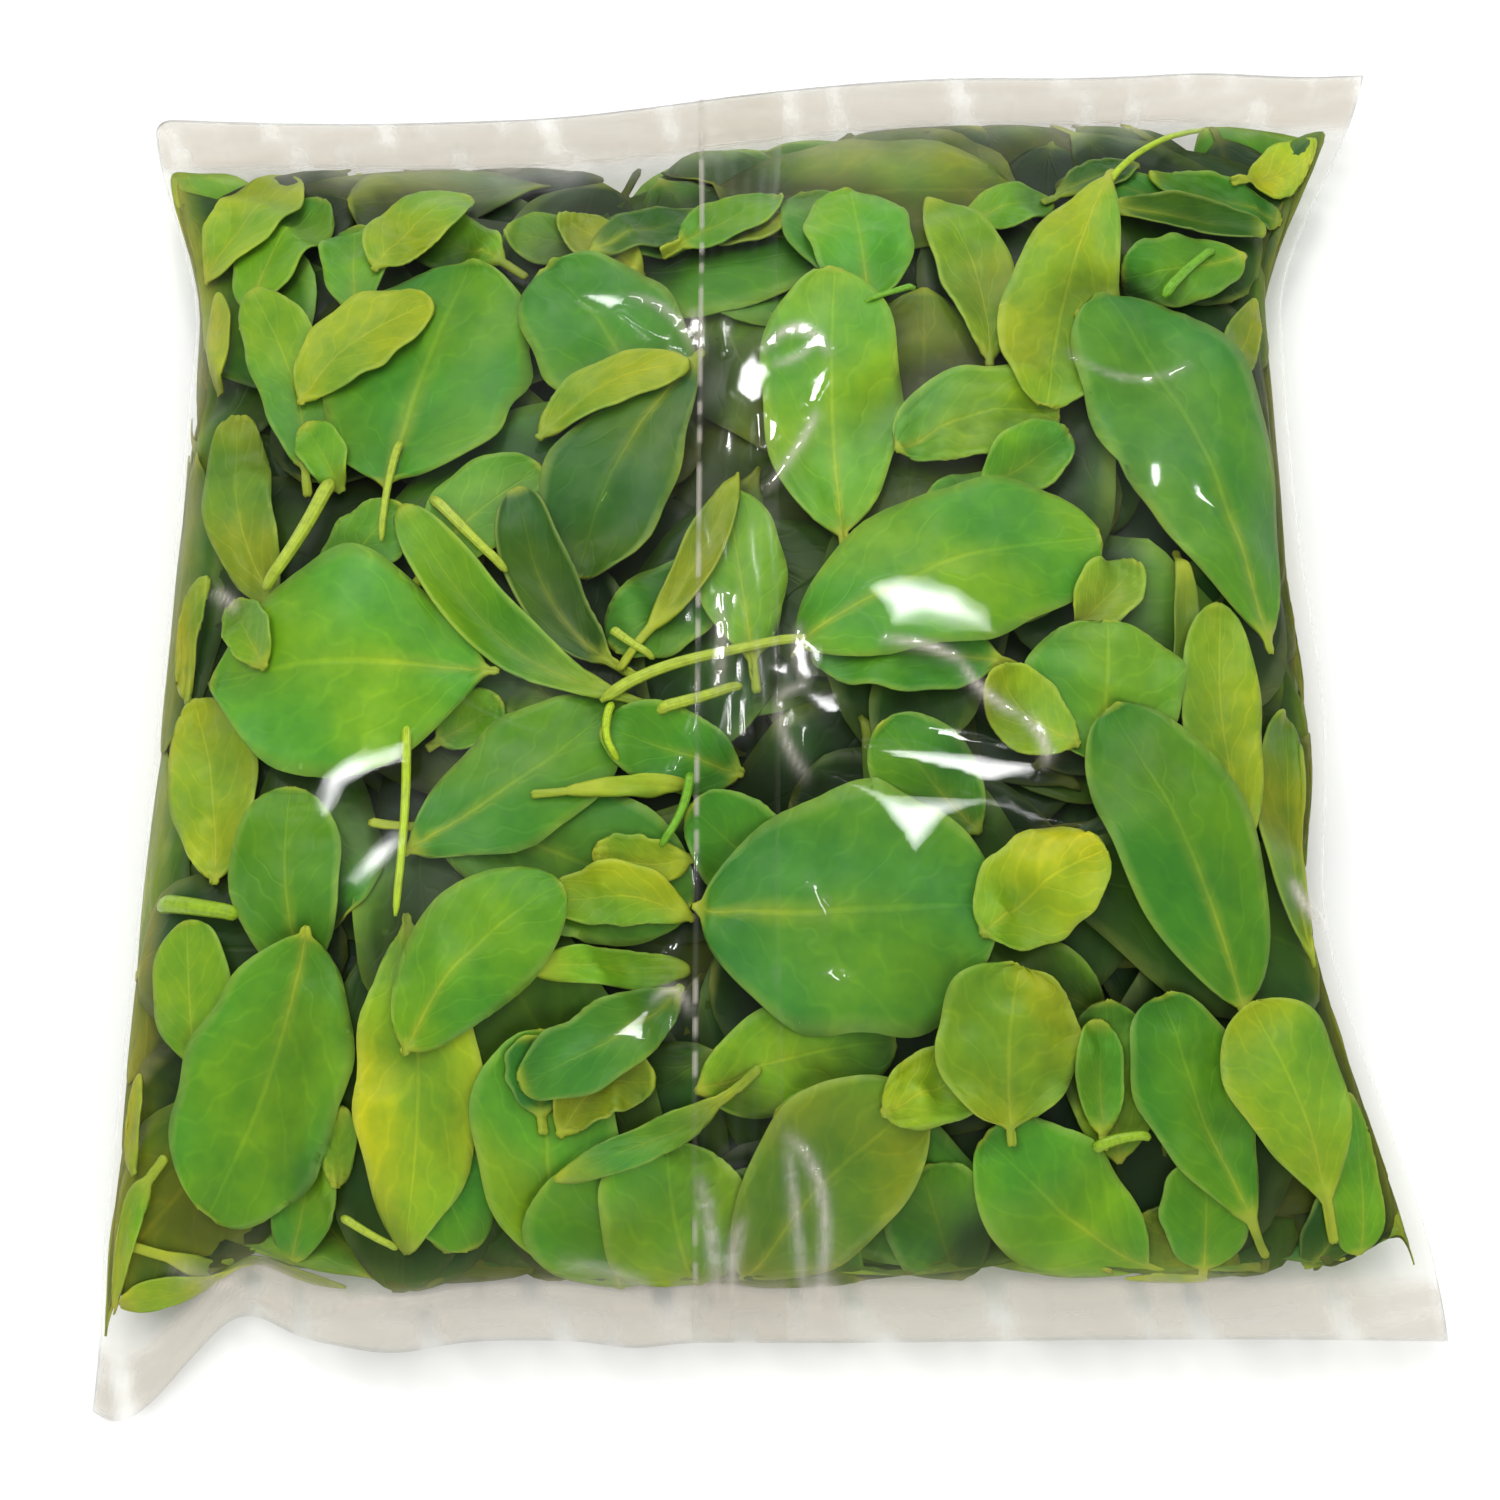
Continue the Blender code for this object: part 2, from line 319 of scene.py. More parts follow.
# How far a facet blends into the film, how much less crisp the edge of a wide facet is and how deep
# a wide one is, from which width in millimetres a crease is soft, and how finely its curve is cut
FEATHER = 0.0008
SOFT_EDGE, WIDE_FACET = 0.72, 0.0035
SOFT_CREASE = 2.2
CURVE_STEPS, STRIP_QUADS = 25, 4

# Nets: values across and along the creases, the fin and each kind of blade, cells of the film's
# lower sheet, rings and sides of a stalk, and values each way of the core
FIELD_NET = (401, 441)
FIN_NET = (27, 300)
FILLER_NET, BETWEEN_NET, SHOWN_NET, UNDER_NET = (8, 20), (11, 30), (13, 38), (9, 22)
FILM_CELLS = (128, 141)
STALK_RINGS, STALK_SIDES = 24, 10
CORE_NET = 61

# The film's pleats and its fin, lengths in metres
PLEAT_WAVES, PLEAT_HEIGHT, PLEAT_START, PLEAT_FADE = 9, 0.00042, 0.004, 0.016
FIN_STAND, FIN_THICKNESS, FIN_LIFT, PULL_HEIGHT = 0.0005, 0.0002, 0.0004, 0.00007

# How milky the film is next to a seal, at a side fold and in each seal, and how much streaks and
# clear patches change that
HAZE_NEAR_SEAL, HAZE_AT_FOLD, TOP_MILK, FOOT_MILK = 0.025, 0.05, 0.64, 0.42
STREAKS, CLEARINGS = 0.07, 0.38

# A blade: how wide and deep its midrib's groove is, how high it is quilted and crumpled, how far
# its edges and its face wave as shares of its width, how many blades have a stalk, and the length
# of a stub or a stalk as a share of the blade's. Then the length of a random blade, and its width
# as a share of that.
MIDRIB_WIDTH, GROOVE_DEPTH, QUILT_HEIGHT, CRUMPLE_HEIGHT = 0.0011, 0.0006, 0.00022, 0.0016
EDGE_WAVE, FACE_WAVE = 0.04, 0.04
STALKED_SHARE, STUB, STALK = 0.3, 0.03, (0.12, 0.26)
BLADE_LENGTH, BLADE_WIDTH = (0.042, 0.070), (0.46, 0.66)

# How a stalk lies: its sunk share of its radius, and how far its ends dip, in metres
STALK_SUNK, STALK_DIP = 0.72, 0.0014

# The floor's half side and how far it lies below the bag, and how bright the room is and how
# bright it shows in gloss
FLOOR_HALF, FLOOR_DROP = 3.0, 0.0002
ROOM_LIGHT, ROOM_IN_GLOSS = 0.48, 0.30

# Lights: direction from the bag, distance, sides and power, and whether they show in gloss
LIGHTS = {
    "window": ((0.0, 0.587, 0.810), 1.5, 0.18, 0.14, 2.6, True),
    "right_box": ((0.448, 0.428, 0.785), 1.5, 0.13, 0.16, 1.8, True),
    "left_strip": ((-0.458, 0.342, 0.821), 1.6, 0.08, 0.60, 3.6, True),
    "back_strip": ((0.0, 0.844, 0.537), 1.6, 0.80, 0.07, 3.6, True),
    "top_fill": ((-0.15, 0.05, 1.00), 1.8, 1.20, 1.20, 16.0, False),
    "front_fill": ((0.20, -0.75, 0.65), 1.8, 0.90, 0.90, 10.0, False),
}

# Outlines of a blade: how fast it widens from its base, and how blunt its tip is
OUTLINES = {
    "oval": (0.62, 0.52),
    "round": (0.50, 0.48),
    "spoon": (0.92, 0.50),
    "kite": (1.05, 0.90),
    "lance": (0.85, 0.78),
    "crumpled": (0.48, 0.44),
}

# Shares of a blade's tone where it is cool and where it is warm
COOL = np.array((0.70, 0.94, 1.20))
WARM = np.array((1.30, 1.08, 0.66))


def hex_linear(code):
    """Linear colour of an sRGB hex value, by the sRGB curve."""
    srgb = [int(code[i : i + 2], 16) / 255.0 for i in (1, 3, 5)]
    linear = [c / 12.92 if c <= 0.04045 else ((c + 0.055) / 1.055) ** 2.4 for c in srgb]
    return (*linear, 1.0)


def colour_property(name, description, code):
    return bpy.props.FloatVectorProperty(
        name=name, description=description, subtype="COLOR", size=4,
        min=0.0, max=1.0, default=hex_linear(code),
    )


def length_property(name, description, default):
    return bpy.props.FloatProperty(
        name=name, description=description, default=default, min=0.0, unit="LENGTH",
    )


class SpinachSizes(bpy.types.PropertyGroup):
    filled_height: length_property("Filled height", "Height of the filled bag without its lumps", 0.058)
    film_gap: length_property("Gap under the film", "Between the film and the leaves that touch it", 0.0006)
    leaf_thickness: length_property("Leaf thickness", "Thickness of a blade", 0.0004)
    leaf_spacing: length_property("Leaf spacing", "Least height from one leaf to the next", 0.0009)
    layer_gap: length_property("Gap below the shown leaves", "Height of the dark gaps", 0.0035)
    core_depth: length_property("Core depth", "How deep the core lies below the film", 0.015)
    filler_leaves: bpy.props.IntProperty(
        name="Filler leaves", description="Leaves between the shown ones and the core",
        default=240, min=0,
    )
    under_leaves: bpy.props.IntProperty(
        name="Leaves underneath", description="Leaves that lie on the lower film",
        default=170, min=0,
    )
    seed: bpy.props.IntProperty(name="Seed", description="Start of the random draws", default=11)


class SpinachColours(bpy.types.PropertyGroup):
    deep: colour_property("Deep", "Leaf that is rolled or lies in shade", "#38661A")
    dark: colour_property("Dark", "Upper side of an old leaf", "#4E8E20")
    blue: colour_property("Blue-green", "Upper side with a cool bloom", "#4C8A2C")
    mid: colour_property("Mid", "Upper side of most leaves", "#60A024")
    fresh: colour_property("Fresh", "Upper side of a young leaf", "#6CA426")
    light: colour_property("Light", "Underside of a leaf", "#87A922")
    lime: colour_property("Lime", "Underside of a young leaf", "#A4C022")
    olive: colour_property("Olive", "Leaf near the bag's rim", "#769422")
    stalk: colour_property("Stalk", "Stalks and thick midribs", "#A0B436")
    rim: colour_property("Rim", "Leaf that is pressed into a side fold", "#B0AC2E")
    pale: colour_property("Pale", "Edges and veins of a blade", "#B2CA66")
    # The core's colour is painted shade: nearly black, for the heap's depths seen between leaves
    core: colour_property("Core", "The dark middle of the heap", "#101C09")
    film: colour_property("Film", "Haze of the clear film", "#C9C2B6")
    floor: colour_property("Floor", "The plain floor", "#F4F4F2")


def sizes():
    return bpy.context.scene.spinach_sizes


def colours():
    return bpy.context.scene.spinach_colours


# Form of the bag


def smooth(value):
    """0 up to 0, 1 from 1 on, and an S-curve between."""
    t = np.clip(value, 0.0, 1.0)
    return t * t * (3.0 - 2.0 * t)


def bump(value, middle, width):
    """A bell of height 1 around middle."""
    return np.exp(-(((value - middle) / width) ** 2))


def left_edge(v):
    """x of the left side fold, which widens to the foot and flares at the top seal."""
    flare = FLARE_TOP_LEFT * smooth((v - 0.60) / 0.42)
    return -(WAIST_LEFT - TAPER_LEFT * v + SPREAD_LEFT * v * v + flare)


def right_edge(v):
    """x of the right side fold, which bellies out below its neck and flares at both seals."""
    top = FLARE_TOP_RIGHT * smooth((v - 0.56) / 0.50)
    foot = FLARE_FOOT_RIGHT * smooth((-v - 0.30) / 0.72)
    return WAIST_RIGHT + top + foot + BELLY_RIGHT * bump(v, -0.12, 0.25)


def top_edge(u):
    """y of the top seal's free edge, which rises to the right and dips at its corner."""
    rise = TOP_EDGE_RISE * smooth((u + 0.38) / 0.82)
    return LENGTH / 2 + rise - TOP_CORNER_DIP * smooth((u - 0.70) / 0.25)


def foot_edge(u):
    """y of the bottom seal's free edge, with the ear that sticks out at its left corner."""
    ear = EAR_LENGTH * bump(u, -0.96, 0.10) - EAR_NOTCH * bump(u, -0.765, 0.075)
    sag = FOOT_SAG * (bump(u, -0.53, 0.09) + 0.5 * bump(u, -0.16, 0.06))
    return -LENGTH / 2 - ear - sag


def edges_at(u, v):
    """x and y at u across and v along the bag, before it is centred."""
    x = FIN_MIDDLE + np.abs(u) * (np.where(u > 0.0, right_edge(v), left_edge(v)) - FIN_MIDDLE)
    y = (foot_edge(u) * (1.0 - v) + top_edge(u) * (1.0 + v)) / 2.0
    return x, y


@functools.cache
def bag_centre():
    """Middle of the outline's box, which is where the solid has its origin."""
    along = np.linspace(-1.0, 1.0, 401)
    ends = np.ones_like(along)
    x, y = edges_at(np.concatenate([along, along, ends, -ends]),
                    np.concatenate([ends, -ends, along, along]))
    return (x.min() + x.max()) / 2.0, (y.min() + y.max()) / 2.0


def plan(u, v):
    """x and y at u across and v along the bag, each from -1 to 1."""
    x, y = edges_at(u, v)
    centre_x, centre_y = bag_centre()
    return x - centre_x, y - centre_y


def across_along(x, y):
    """u and v at a place of the plan, found by turns from each other. A leaf may reach a little
    beyond a side fold before it is crowded into the bag."""
    centre_x, centre_y = bag_centre()
    x, y = np.asarray(x) + centre_x, np.asarray(y) + centre_y
    v = np.clip(y / (LENGTH / 2), -1.0, 1.0)
    for _ in range(PLAN_ROUNDS):
        reach = np.where(x > FIN_MIDDLE, right_edge(v), left_edge(v)) - FIN_MIDDLE
        u = np.clip((x - FIN_MIDDLE) / np.abs(reach), -BEYOND_FOLD, BEYOND_FOLD)
        top, foot = top_edge(u), foot_edge(u)
        v = np.clip((2.0 * y - top - foot) / (top - foot), -1.0, 1.0)
    return u, v


def seal_line():
    """v of the line where a seal begins."""
    return 1.0 - 2.0 * SEAL_BAND / LENGTH


def rim_height(u, v):
    """Height of the seals and side folds, half way between the two sheets."""
    inner = np.minimum(1.0, np.abs(v) / seal_line())
    height = SEAL_HEIGHT + SIDE_FOLD_RISE * (1.0 - inner**2)
    height = height + SEAL_WAVE * np.abs(v) ** 8 * np.sin(5.3 * u + 2.0 * v)
    height = height - EAR_DROOP * bump(u, -1.0, 0.30) * smooth((-v - 0.72) / 0.28)
    return height + CORNER_LIFT * bump(u, 1.0, 0.25) * smooth((v - 0.72) / 0.28)


def fullness(u, v):
    """0 at the seals and side folds, and 1 in the middle of the bag."""
    inner = np.minimum(1.0, np.abs(v) / seal_line())
    across = np.maximum(1.0 - np.abs(u) ** SIDE_POWER, 0.0) ** SIDE_ROOT
    return across * np.maximum(1.0 - inner**END_POWER, 0.0) ** END_ROOT


def relief(x, y):
    """The four lump waves, less the furrow along the back seam."""
    centre_x, centre_y = bag_centre()
    x, y = x + centre_x, y + centre_y
    lumps = sum(
        np.sin(pitch * (x * math.cos(turn) + y * math.sin(turn)) + start)
        for pitch, turn, start in LUMP_WAVES
    )
    return LUMP_HEIGHT * lumps - FURROW_DEPTH * bump(x, FIN_MIDDLE, FURROW_WIDTH)


def bag_height(u, v, upper):
    """Height of the plain upper or lower sheet, as the solid has it."""
    x, y = plan(u, v)
    full, rim = fullness(u, v), rim_height(u, v)
    if upper:
        top = rim + (sizes().filled_height - rim) * full + SHEET / 2.0
        return top + relief(x, y) * smooth(full / 0.6)
    return (rim - SHEET / 2.0) * (1.0 - smooth(full / REST_SHARE))


# Camera and places in the photograph


def camera_axes():
    """Place, right, up and forward directions of the camera."""
    forward = np.array([0.0, math.cos(ELEVATION), -math.sin(ELEVATION)])
    up = np.array([0.0, math.sin(ELEVATION), math.cos(ELEVATION)])
    return np.array(AIM) - forward * DISTANCE, np.array([1.0, 0.0, 0.0]), up, forward


def on_bag(pixels):
    """x and y where the sight lines of the photograph's pixels meet the upper sheet."""
    pixels = np.asarray(pixels, float)
    place, right, up, forward = camera_axes()
    across = (pixels[..., 0:1] - AIM_PIXEL[0]) / FOCAL_PIXELS
    down = (pixels[..., 1:2] - AIM_PIXEL[1]) / FOCAL_PIXELS
    ray = forward + across * right - down * up
    height = np.full(pixels.shape[:-1], FIRST_HEIGHT)
    for _ in range(SIGHT_ROUNDS):
        steps = (height - place[2]) / ray[..., 2]
        point = place + steps[..., None] * ray
        u, v = across_along(point[..., 0], point[..., 1])
        height = 0.5 * height + 0.5 * bag_height(u, v, True)
    return point[..., :2]


def metres_per_pixel():
    return DISTANCE / FOCAL_PIXELS


# Heap of leaves

# Side veins of a blade and their slant, and the cells of the heap's height grid
VEIN_PAIRS = 5.5
VEIN_SLANT = 2.3
CELL = 0.0015
HALF_GRID = 0.165
GRID = int(2 * HALF_GRID / CELL) + 1

# How far leaves may reach in u and v, over which stretch they are crowded before that, and how far
# they keep clear of the ear and of the lower right corner
SIDE_REACH, FILLER_REACH, UNDER_REACH = 1.15, 0.93, 0.92
SIDE_CROWD, END_CROWD = 0.06, 0.05
LEFT_LIMIT, RIGHT_LIMIT, END_LIMIT = 0.994, 0.972, 0.930
EAR_CLEARANCE, EAR_WIDTH = 0.060, 0.10
CORNER_CLEARANCE, CORNER_WIDTH = 0.070, 0.14

# Which shares of the bag's height the upper and lower leaves take, how stiffly a blade lies on
# others, and how the heap's top is smoothed
ROOM_ABOVE, ROOM_BELOW, LEAST_ROOM, GAP_SHARE = 0.45, 0.40, 0.0004, 0.3
STIFF_PASSES, SOFT_PASSES = 14, 2
TOP_WIDENED, TOP_BLURRED = 3, 6

# From which depth leaves are darkened by painted shade, over which depth and how much, and how much
# of the pale and yellow tones their edges take
PAINTED_SHADE_FROM, PAINTED_SHADE_DEPTH = 0.0015, 0.012
PALE_EDGE, YELLOW_AT_FOLD, YELLOW_AT_SEAL = 0.30, 0.55, 0.40
# How much painted shade the shown leaves and the rest of the heap take
SHOWN_PAINTED_SHADE, HEAP_PAINTED_SHADE = 0.30, 0.82

# How far the core reaches in u and v
CORE_ACROSS, CORE_ALONG = 0.86, 0.82


def cell_of(x, y):
    """Row and column of the heap's height grid at a place of the plan."""
    column = np.clip(np.rint((x + HALF_GRID) / CELL), 0, GRID - 1).astype(int)
    row = np.clip(np.rint((y + HALF_GRID) / CELL), 0, GRID - 1).astype(int)
    return row, column


def blurred(grid, passes):
    """Each value replaced by the mean of itself and its neighbours, several times."""
    for _ in range(passes):
        padded = np.pad(grid, 1, mode="edge")
        rows = (padded[:-2, :] + 2.0 * padded[1:-1, :] + padded[2:, :]) / 4.0
        grid = (rows[:, :-2] + 2.0 * rows[:, 1:-1] + rows[:, 2:]) / 4.0
    return grid


def widened(grid, passes):
    """Each value replaced by the largest of itself and its neighbours, several times."""
    for _ in range(passes):
        padded = np.pad(grid, 1, mode="edge")
        rows = np.maximum(np.maximum(padded[:-2, :], padded[1:-1, :]), padded[2:, :])
        grid = np.maximum(np.maximum(rows[:, :-2], rows[:, 1:-1]), rows[:, 2:])
    return grid


class Blade:
    """One leaf with its stalk: where its points lie in plan, how far they rise, and its look."""

    def __init__(self, draw, net, base, tip, width, tone, roll, bend, form):
        """The outline is q to one power times 1 - q to another, for q from 0 at the base to 1 at
        the tip, and the stalk is a narrow strip before it. Across, the blade is an arc that turns
        by the roll, and slow waves run along its edges."""
        base, tip = np.asarray(base, float), np.asarray(tip, float)
        blade_length = float(np.linalg.norm(tip - base))
        fore = (tip - base) / max(blade_length, 1e-6)
        side = np.array([-fore[1], fore[0]])
        stalk = blade_length * (draw.uniform(*STALK) if draw.random() < STALKED_SHARE else STUB)
        base, length = base - fore * stalk, blade_length + stalk
        k = np.linspace(0.0, 1.0, net[1])[:, None]
        t = 0.003 + 0.994 * (0.5 * k + 0.5 * (1.0 - np.cos(math.pi * k)) / 2.0)
        t, s = np.broadcast_arrays(t, np.linspace(-1.0, 1.0, net[0])[None, :])
        q = (t * length - stalk) / blade_length
        inside = np.clip(q, 0.0, 1.0)
        grow, close = OUTLINES[form]
        widest = grow / (grow + close)
        outline = (inside / widest) ** grow * ((1.0 - inside) / (1.0 - widest)) ** close
        wave = np.sin(2 * math.pi * (draw.uniform(1.5, 3.5) * q + draw.random() + 0.2 * s))
        narrow = 0.0009 * np.clip(t / 0.01, 0.45, 1.0)
        wide = width / 2.0 * outline * (1.0 + EDGE_WAVE * wave)
        half = np.maximum(wide, np.where(q < 0.5, narrow, 0.0004))
        on_blade = smooth((half / MIDRIB_WIDTH - 1.0) / 3.0)
        roll = roll if abs(roll) > 0.02 else 0.02
        lateral = half * np.sin(roll * s) / roll
        rise = half * (1.0 - np.cos(roll * s)) / roll
        wave = np.sin(2 * math.pi * (draw.uniform(1.2, 2.6) * q + 0.18 * s + draw.random()))
        rise = rise + width * FACE_WAVE * s**2 * wave
        quilt = np.sin(math.pi * (2.0 * VEIN_PAIRS * q - 2.0 * VEIN_SLANT * np.abs(s)))
        rise = rise + QUILT_HEIGHT * quilt * (1.0 - s**4) * np.minimum(1.0, np.abs(s) * 4.0)
        if form == "crumpled":
            rise = rise + CRUMPLE_HEIGHT * np.sin(13.0 * q + 5.0 * s) * np.sin(9.0 * s - 7.0 * q)
        groove = np.exp(-((s * half / MIDRIB_WIDTH) ** 2)) * (1.0 - inside)
        rise = rise * on_blade - GROOVE_DEPTH * groove * on_blade
        rise = rise + (1.0 - on_blade) * 0.9 * half * np.sqrt(np.maximum(1.0 - s**2, 0.0))
        sway = bend * length * np.sin(math.pi * t)
        tangent = fore + (bend * math.pi * np.cos(math.pi * t))[..., None] * side
        tangent = tangent / np.linalg.norm(tangent, axis=-1, keepdims=True)
        outward = np.stack([-tangent[..., 1], tangent[..., 0]], axis=-1)
        spine = base + (t * length)[..., None] * fore + sway[..., None] * side
        flat = spine + lateral[..., None] * outward
        self.x, self.y, self.rise = flat[..., 0], flat[..., 1], rise
        self.q, self.s, self.half, self.length = q, s, half, blade_length
        self.tone, self.shade = tone, draw.uniform(0.88, 1.12)
        self.fleshy = np.maximum(1.0 - on_blade, 0.7 * groove**2)
        self.veined = on_blade
        self.offset = draw.uniform(0.0, 40.0, 2)
        self.waves = [(draw.uniform(90.0, 230.0), draw.uniform(0, math.pi), draw.uniform(0, 6.3))
                      for _ in range(3)]

    def tint(self, depth, painted_shade):
        """Colour of each point. Three slow waves over the blade turn its tone from cool to warm;
        edges are paler, the stalk and the foot of the midrib take the stalk's colour, what touches
        a side fold is yellow, and what lies deep in the heap is darkened by painted shade."""
        palette = colours()
        across, along = self.s * self.half, self.q * self.length
        wave = sum(np.sin(pitch * (along * math.cos(turn) + across * math.sin(turn)) + start)
                   for pitch, turn, start in self.waves)
        warm = smooth(0.5 + 0.28 * wave)[..., None]
        tone = np.array(getattr(palette, self.tone)[:3]) * self.shade * (COOL * (1.0 - warm) + WARM * warm)
        edge = PALE_EDGE * smooth((np.abs(self.s) - 0.84) / 0.16) * self.veined
        u, v = across_along(self.x, self.y)
        fold = YELLOW_AT_FOLD * smooth((np.abs(u) - 0.93) / 0.05)
        fold = np.maximum(fold, YELLOW_AT_SEAL * smooth((np.abs(v) - 0.87) / 0.07))
        for colour, share in ((palette.pale, edge), (palette.stalk, self.fleshy), (palette.rim, fold)):
            tone = tone + (np.array(colour[:3]) - tone) * share[..., None]
        # Painted shade: the deeper a point lies below the heap's top, the darker it is drawn, except at a
        # fold
        dark = painted_shade * smooth((depth - PAINTED_SHADE_FROM) / PAINTED_SHADE_DEPTH) * (1.0 - fold)
        tone = tone * (1.0 - dark)[..., None]
        return np.concatenate([tone, np.ones_like(tone[..., :1])], axis=-1)

    def settle(self, heap, spacing):
        """Lays the blade on the heap as a stiff sheet: the bed under it is smoothed again and
        again and never sinks below the heap, then the blade's own rise is added."""
        row, column = cell_of(self.x, self.y)
        floor = heap[row, column] + spacing
        bed = floor.copy()
        for _ in range(STIFF_PASSES):
            bed = np.maximum(floor, blurred(bed, 1))
        bed = blurred(bed, SOFT_PASSES)
        self.z = bed + self.rise - min(0.0, float(self.rise.min()))
        self.z = np.maximum(self.z, floor)
        np.maximum.at(heap, cell_of(dense(self.x), dense(self.y)), dense(self.z))


def dense(values):
    """A grid of three times as many values each way, taken linearly between the given ones."""
    for _ in range(2):
        places = np.linspace(0, len(values) - 1, len(values) * 3)
        low = np.floor(places).astype(int).clip(0, len(values) - 2)
        part = (places - low)[:, None]
        values = (values[low] * (1 - part) + values[low + 1] * part).T
    return values


def random_blade(draw, net, tones, reach):
    """A leaf anywhere in the bag up to its reach along it, of the usual size, turned any way."""
    x, y = plan(np.array(draw.uniform(-1.02, 1.02)), np.array(draw.uniform(-0.92, 0.92)))
    turn = draw.uniform(0.0, 2 * math.pi)
    length = draw.uniform(*BLADE_LENGTH)
    middle = np.array([float(x), float(y)])
    fore = 0.5 * length * np.array([math.cos(turn), math.sin(turn)])
    width = length * draw.uniform(*BLADE_WIDTH)
    tone = tones[draw.integers(len(tones))]
    roll, bend = draw.uniform(-0.5, 0.8), draw.uniform(-0.1, 0.1)
    form = ("oval", "spoon", "lance")[draw.integers(3)]
    blade = Blade(draw, net, middle - fore, middle + fore, width, tone, roll, bend, form)
    moved_inside(blade, SIDE_REACH, reach)
    return blade


def placed_blade(draw, net, base_x, base_y, tip_x, tip_y, width, tone, roll, bend=0.0, form="oval"):
    """A leaf at its place in the photograph, as its row in the list has it."""
    base, tip = on_bag([(base_x, base_y), (tip_x, tip_y)])
    return Blade(draw, net, base, tip, width * metres_per_pixel(), tone, roll, bend, form)


def moved_inside(blade, u_limit, v_limit):
    """Moves a blade as a whole towards the bag's middle until its middle part is inside."""
    for _ in range(3):
        u, v = across_along(blade.x, blade.y)
        x_in, y_in = plan(np.clip(u, -u_limit, u_limit), np.clip(v, -v_limit, v_limit))
        out_x, out_y = x_in - blade.x, y_in - blade.y
        blade.x = blade.x + 0.8 * (out_x.max() + out_x.min())
        blade.y = blade.y + 0.8 * (out_y.max() + out_y.min())


def held_inside(blade):
    """Crowds the parts of a blade that reach a side fold or a seal, so that none leaves the bag
    or enters its ear or its lower right corner."""
    u, v = across_along(blade.x, blade.y)
    u_limit = np.where(u > 0.0, RIGHT_LIMIT, LEFT_LIMIT)
    clear = EAR_CLEARANCE * bump(u, -1.0, EAR_WIDTH) + CORNER_CLEARANCE * bump(u, 1.0, CORNER_WIDTH)
    v_limit = END_LIMIT - clear * (v < 0.0)
    x, y = plan(crowded(u, u_limit, SIDE_CROWD), crowded(v, v_limit, END_CROWD))
    near = (np.abs(u) > u_limit - SIDE_CROWD) | (np.abs(v) > v_limit - END_CROWD)
    blade.x, blade.y = np.where(near, x, blade.x), np.where(near, y, blade.y)


def crowded(value, limit, crowd):
    """The value up to a little short of the limit, and from there ever closer to it."""
    start = limit - crowd
    over = np.maximum(np.abs(value) - start, 0.0)
    return np.sign(value) * (np.minimum(np.abs(value), start) + crowd * (1.0 - np.exp(-over / crowd)))


def laid(blades, heap):
    """The blades, each crowded into the bag and laid on the heap in turn."""
    done = []
    for blade in blades:
        held_inside(blade)
        blade.settle(heap, sizes().leaf_spacing)
        done.append(blade)
    return done


@functools.cache
def heap_of_leaves():
    """All blades in their places: fillers, shown leaves and leaves underneath, and the smoothed
    top of the upper and of the lower heap.

    The blades are first laid on a flat bed, one on another. Then the whole heap is bent to the
    bag: the smoothed top of the heap goes to the film, and what lies below it keeps a share of
    its depth.
    """
    draw = np.random.default_rng(sizes().seed)
    heap, floor = np.zeros((GRID, GRID)), np.zeros((GRID, GRID))
    # Fillers lean to the deep tone of leaves in shade: painted shade below the shown leaves
    tones = ("deep", "dark", "deep", "mid", "olive")
    fillers = laid((random_blade(draw, FILLER_NET, tones, FILLER_REACH)
                    for _ in range(sizes().filler_leaves)), heap)
    heap += sizes().layer_gap
    fillers += laid((placed_blade(draw, BETWEEN_NET, *row) for row in BETWEEN), heap)
    shown = laid((placed_blade(draw, SHOWN_NET, *row) for row in LEAVES), heap)
    tones = ("dark", "mid", "fresh", "light", "blue")
    under = laid((random_blade(draw, UNDER_NET, tones, UNDER_REACH)
                  for _ in range(sizes().under_leaves)), floor)
    top, bottom = (blurred(widened(each, TOP_WIDENED), TOP_BLURRED) for each in (heap, floor))
    return fillers, shown, under, top, bottom


def depth_below(bed, blade):
    """How far each point of a blade lies below the smoothed top of its heap."""
    row, column = cell_of(blade.x, blade.y)
    return np.maximum(bed[row, column] - blade.z, 0.0)


def ceiling(u, v):
    """What the leaves touch: the plain sheet, or the creased film where that is lower."""
    return np.minimum(bag_height(u, v, True), film_height(u, v))


def pressed(blade, depth, upper):
    """Height in the bag of a blade's points. Below the upper film it is the film, less the gap and
    each point's depth, which fades so that even the lowest leaf stays above the core. On the lower
    film it is the same upside down."""
    u, v = across_along(blade.x, blade.y)
    low = bag_height(u, v, False)
    high = ceiling(u, v) if upper else bag_height(u, v, True)
    film, way, share = (high, -1.0, ROOM_ABOVE) if upper else (low, 1.0, ROOM_BELOW)
    room = np.maximum(share * (high - low), LEAST_ROOM)
    reach = np.minimum(room, sizes().core_depth)
    gap = np.minimum(sizes().film_gap, GAP_SHARE * room)
    return film + way * gap + way * reach * (1.0 - np.exp(-depth * 0.9 / reach))


# Meshes


def quads_of(rows, columns):
    """Corner numbers of the quads of a grid, wound to face up when rows run along +Y."""
    number = np.arange(rows * columns).reshape(rows, columns)
    quads = [number[:-1, :-1], number[:-1, 1:], number[1:, 1:], number[1:, :-1]]
    return np.stack(quads, axis=-1).reshape(-1, 4)


def grid_normals(points):
    """Unit normals of a grid of points, by the cross product of its two directions."""
    across = np.gradient(points, axis=1)
    along = np.gradient(points, axis=0)
    normal = np.cross(across, along)
    return normal / np.maximum(np.linalg.norm(normal, axis=-1, keepdims=True), 1e-12)


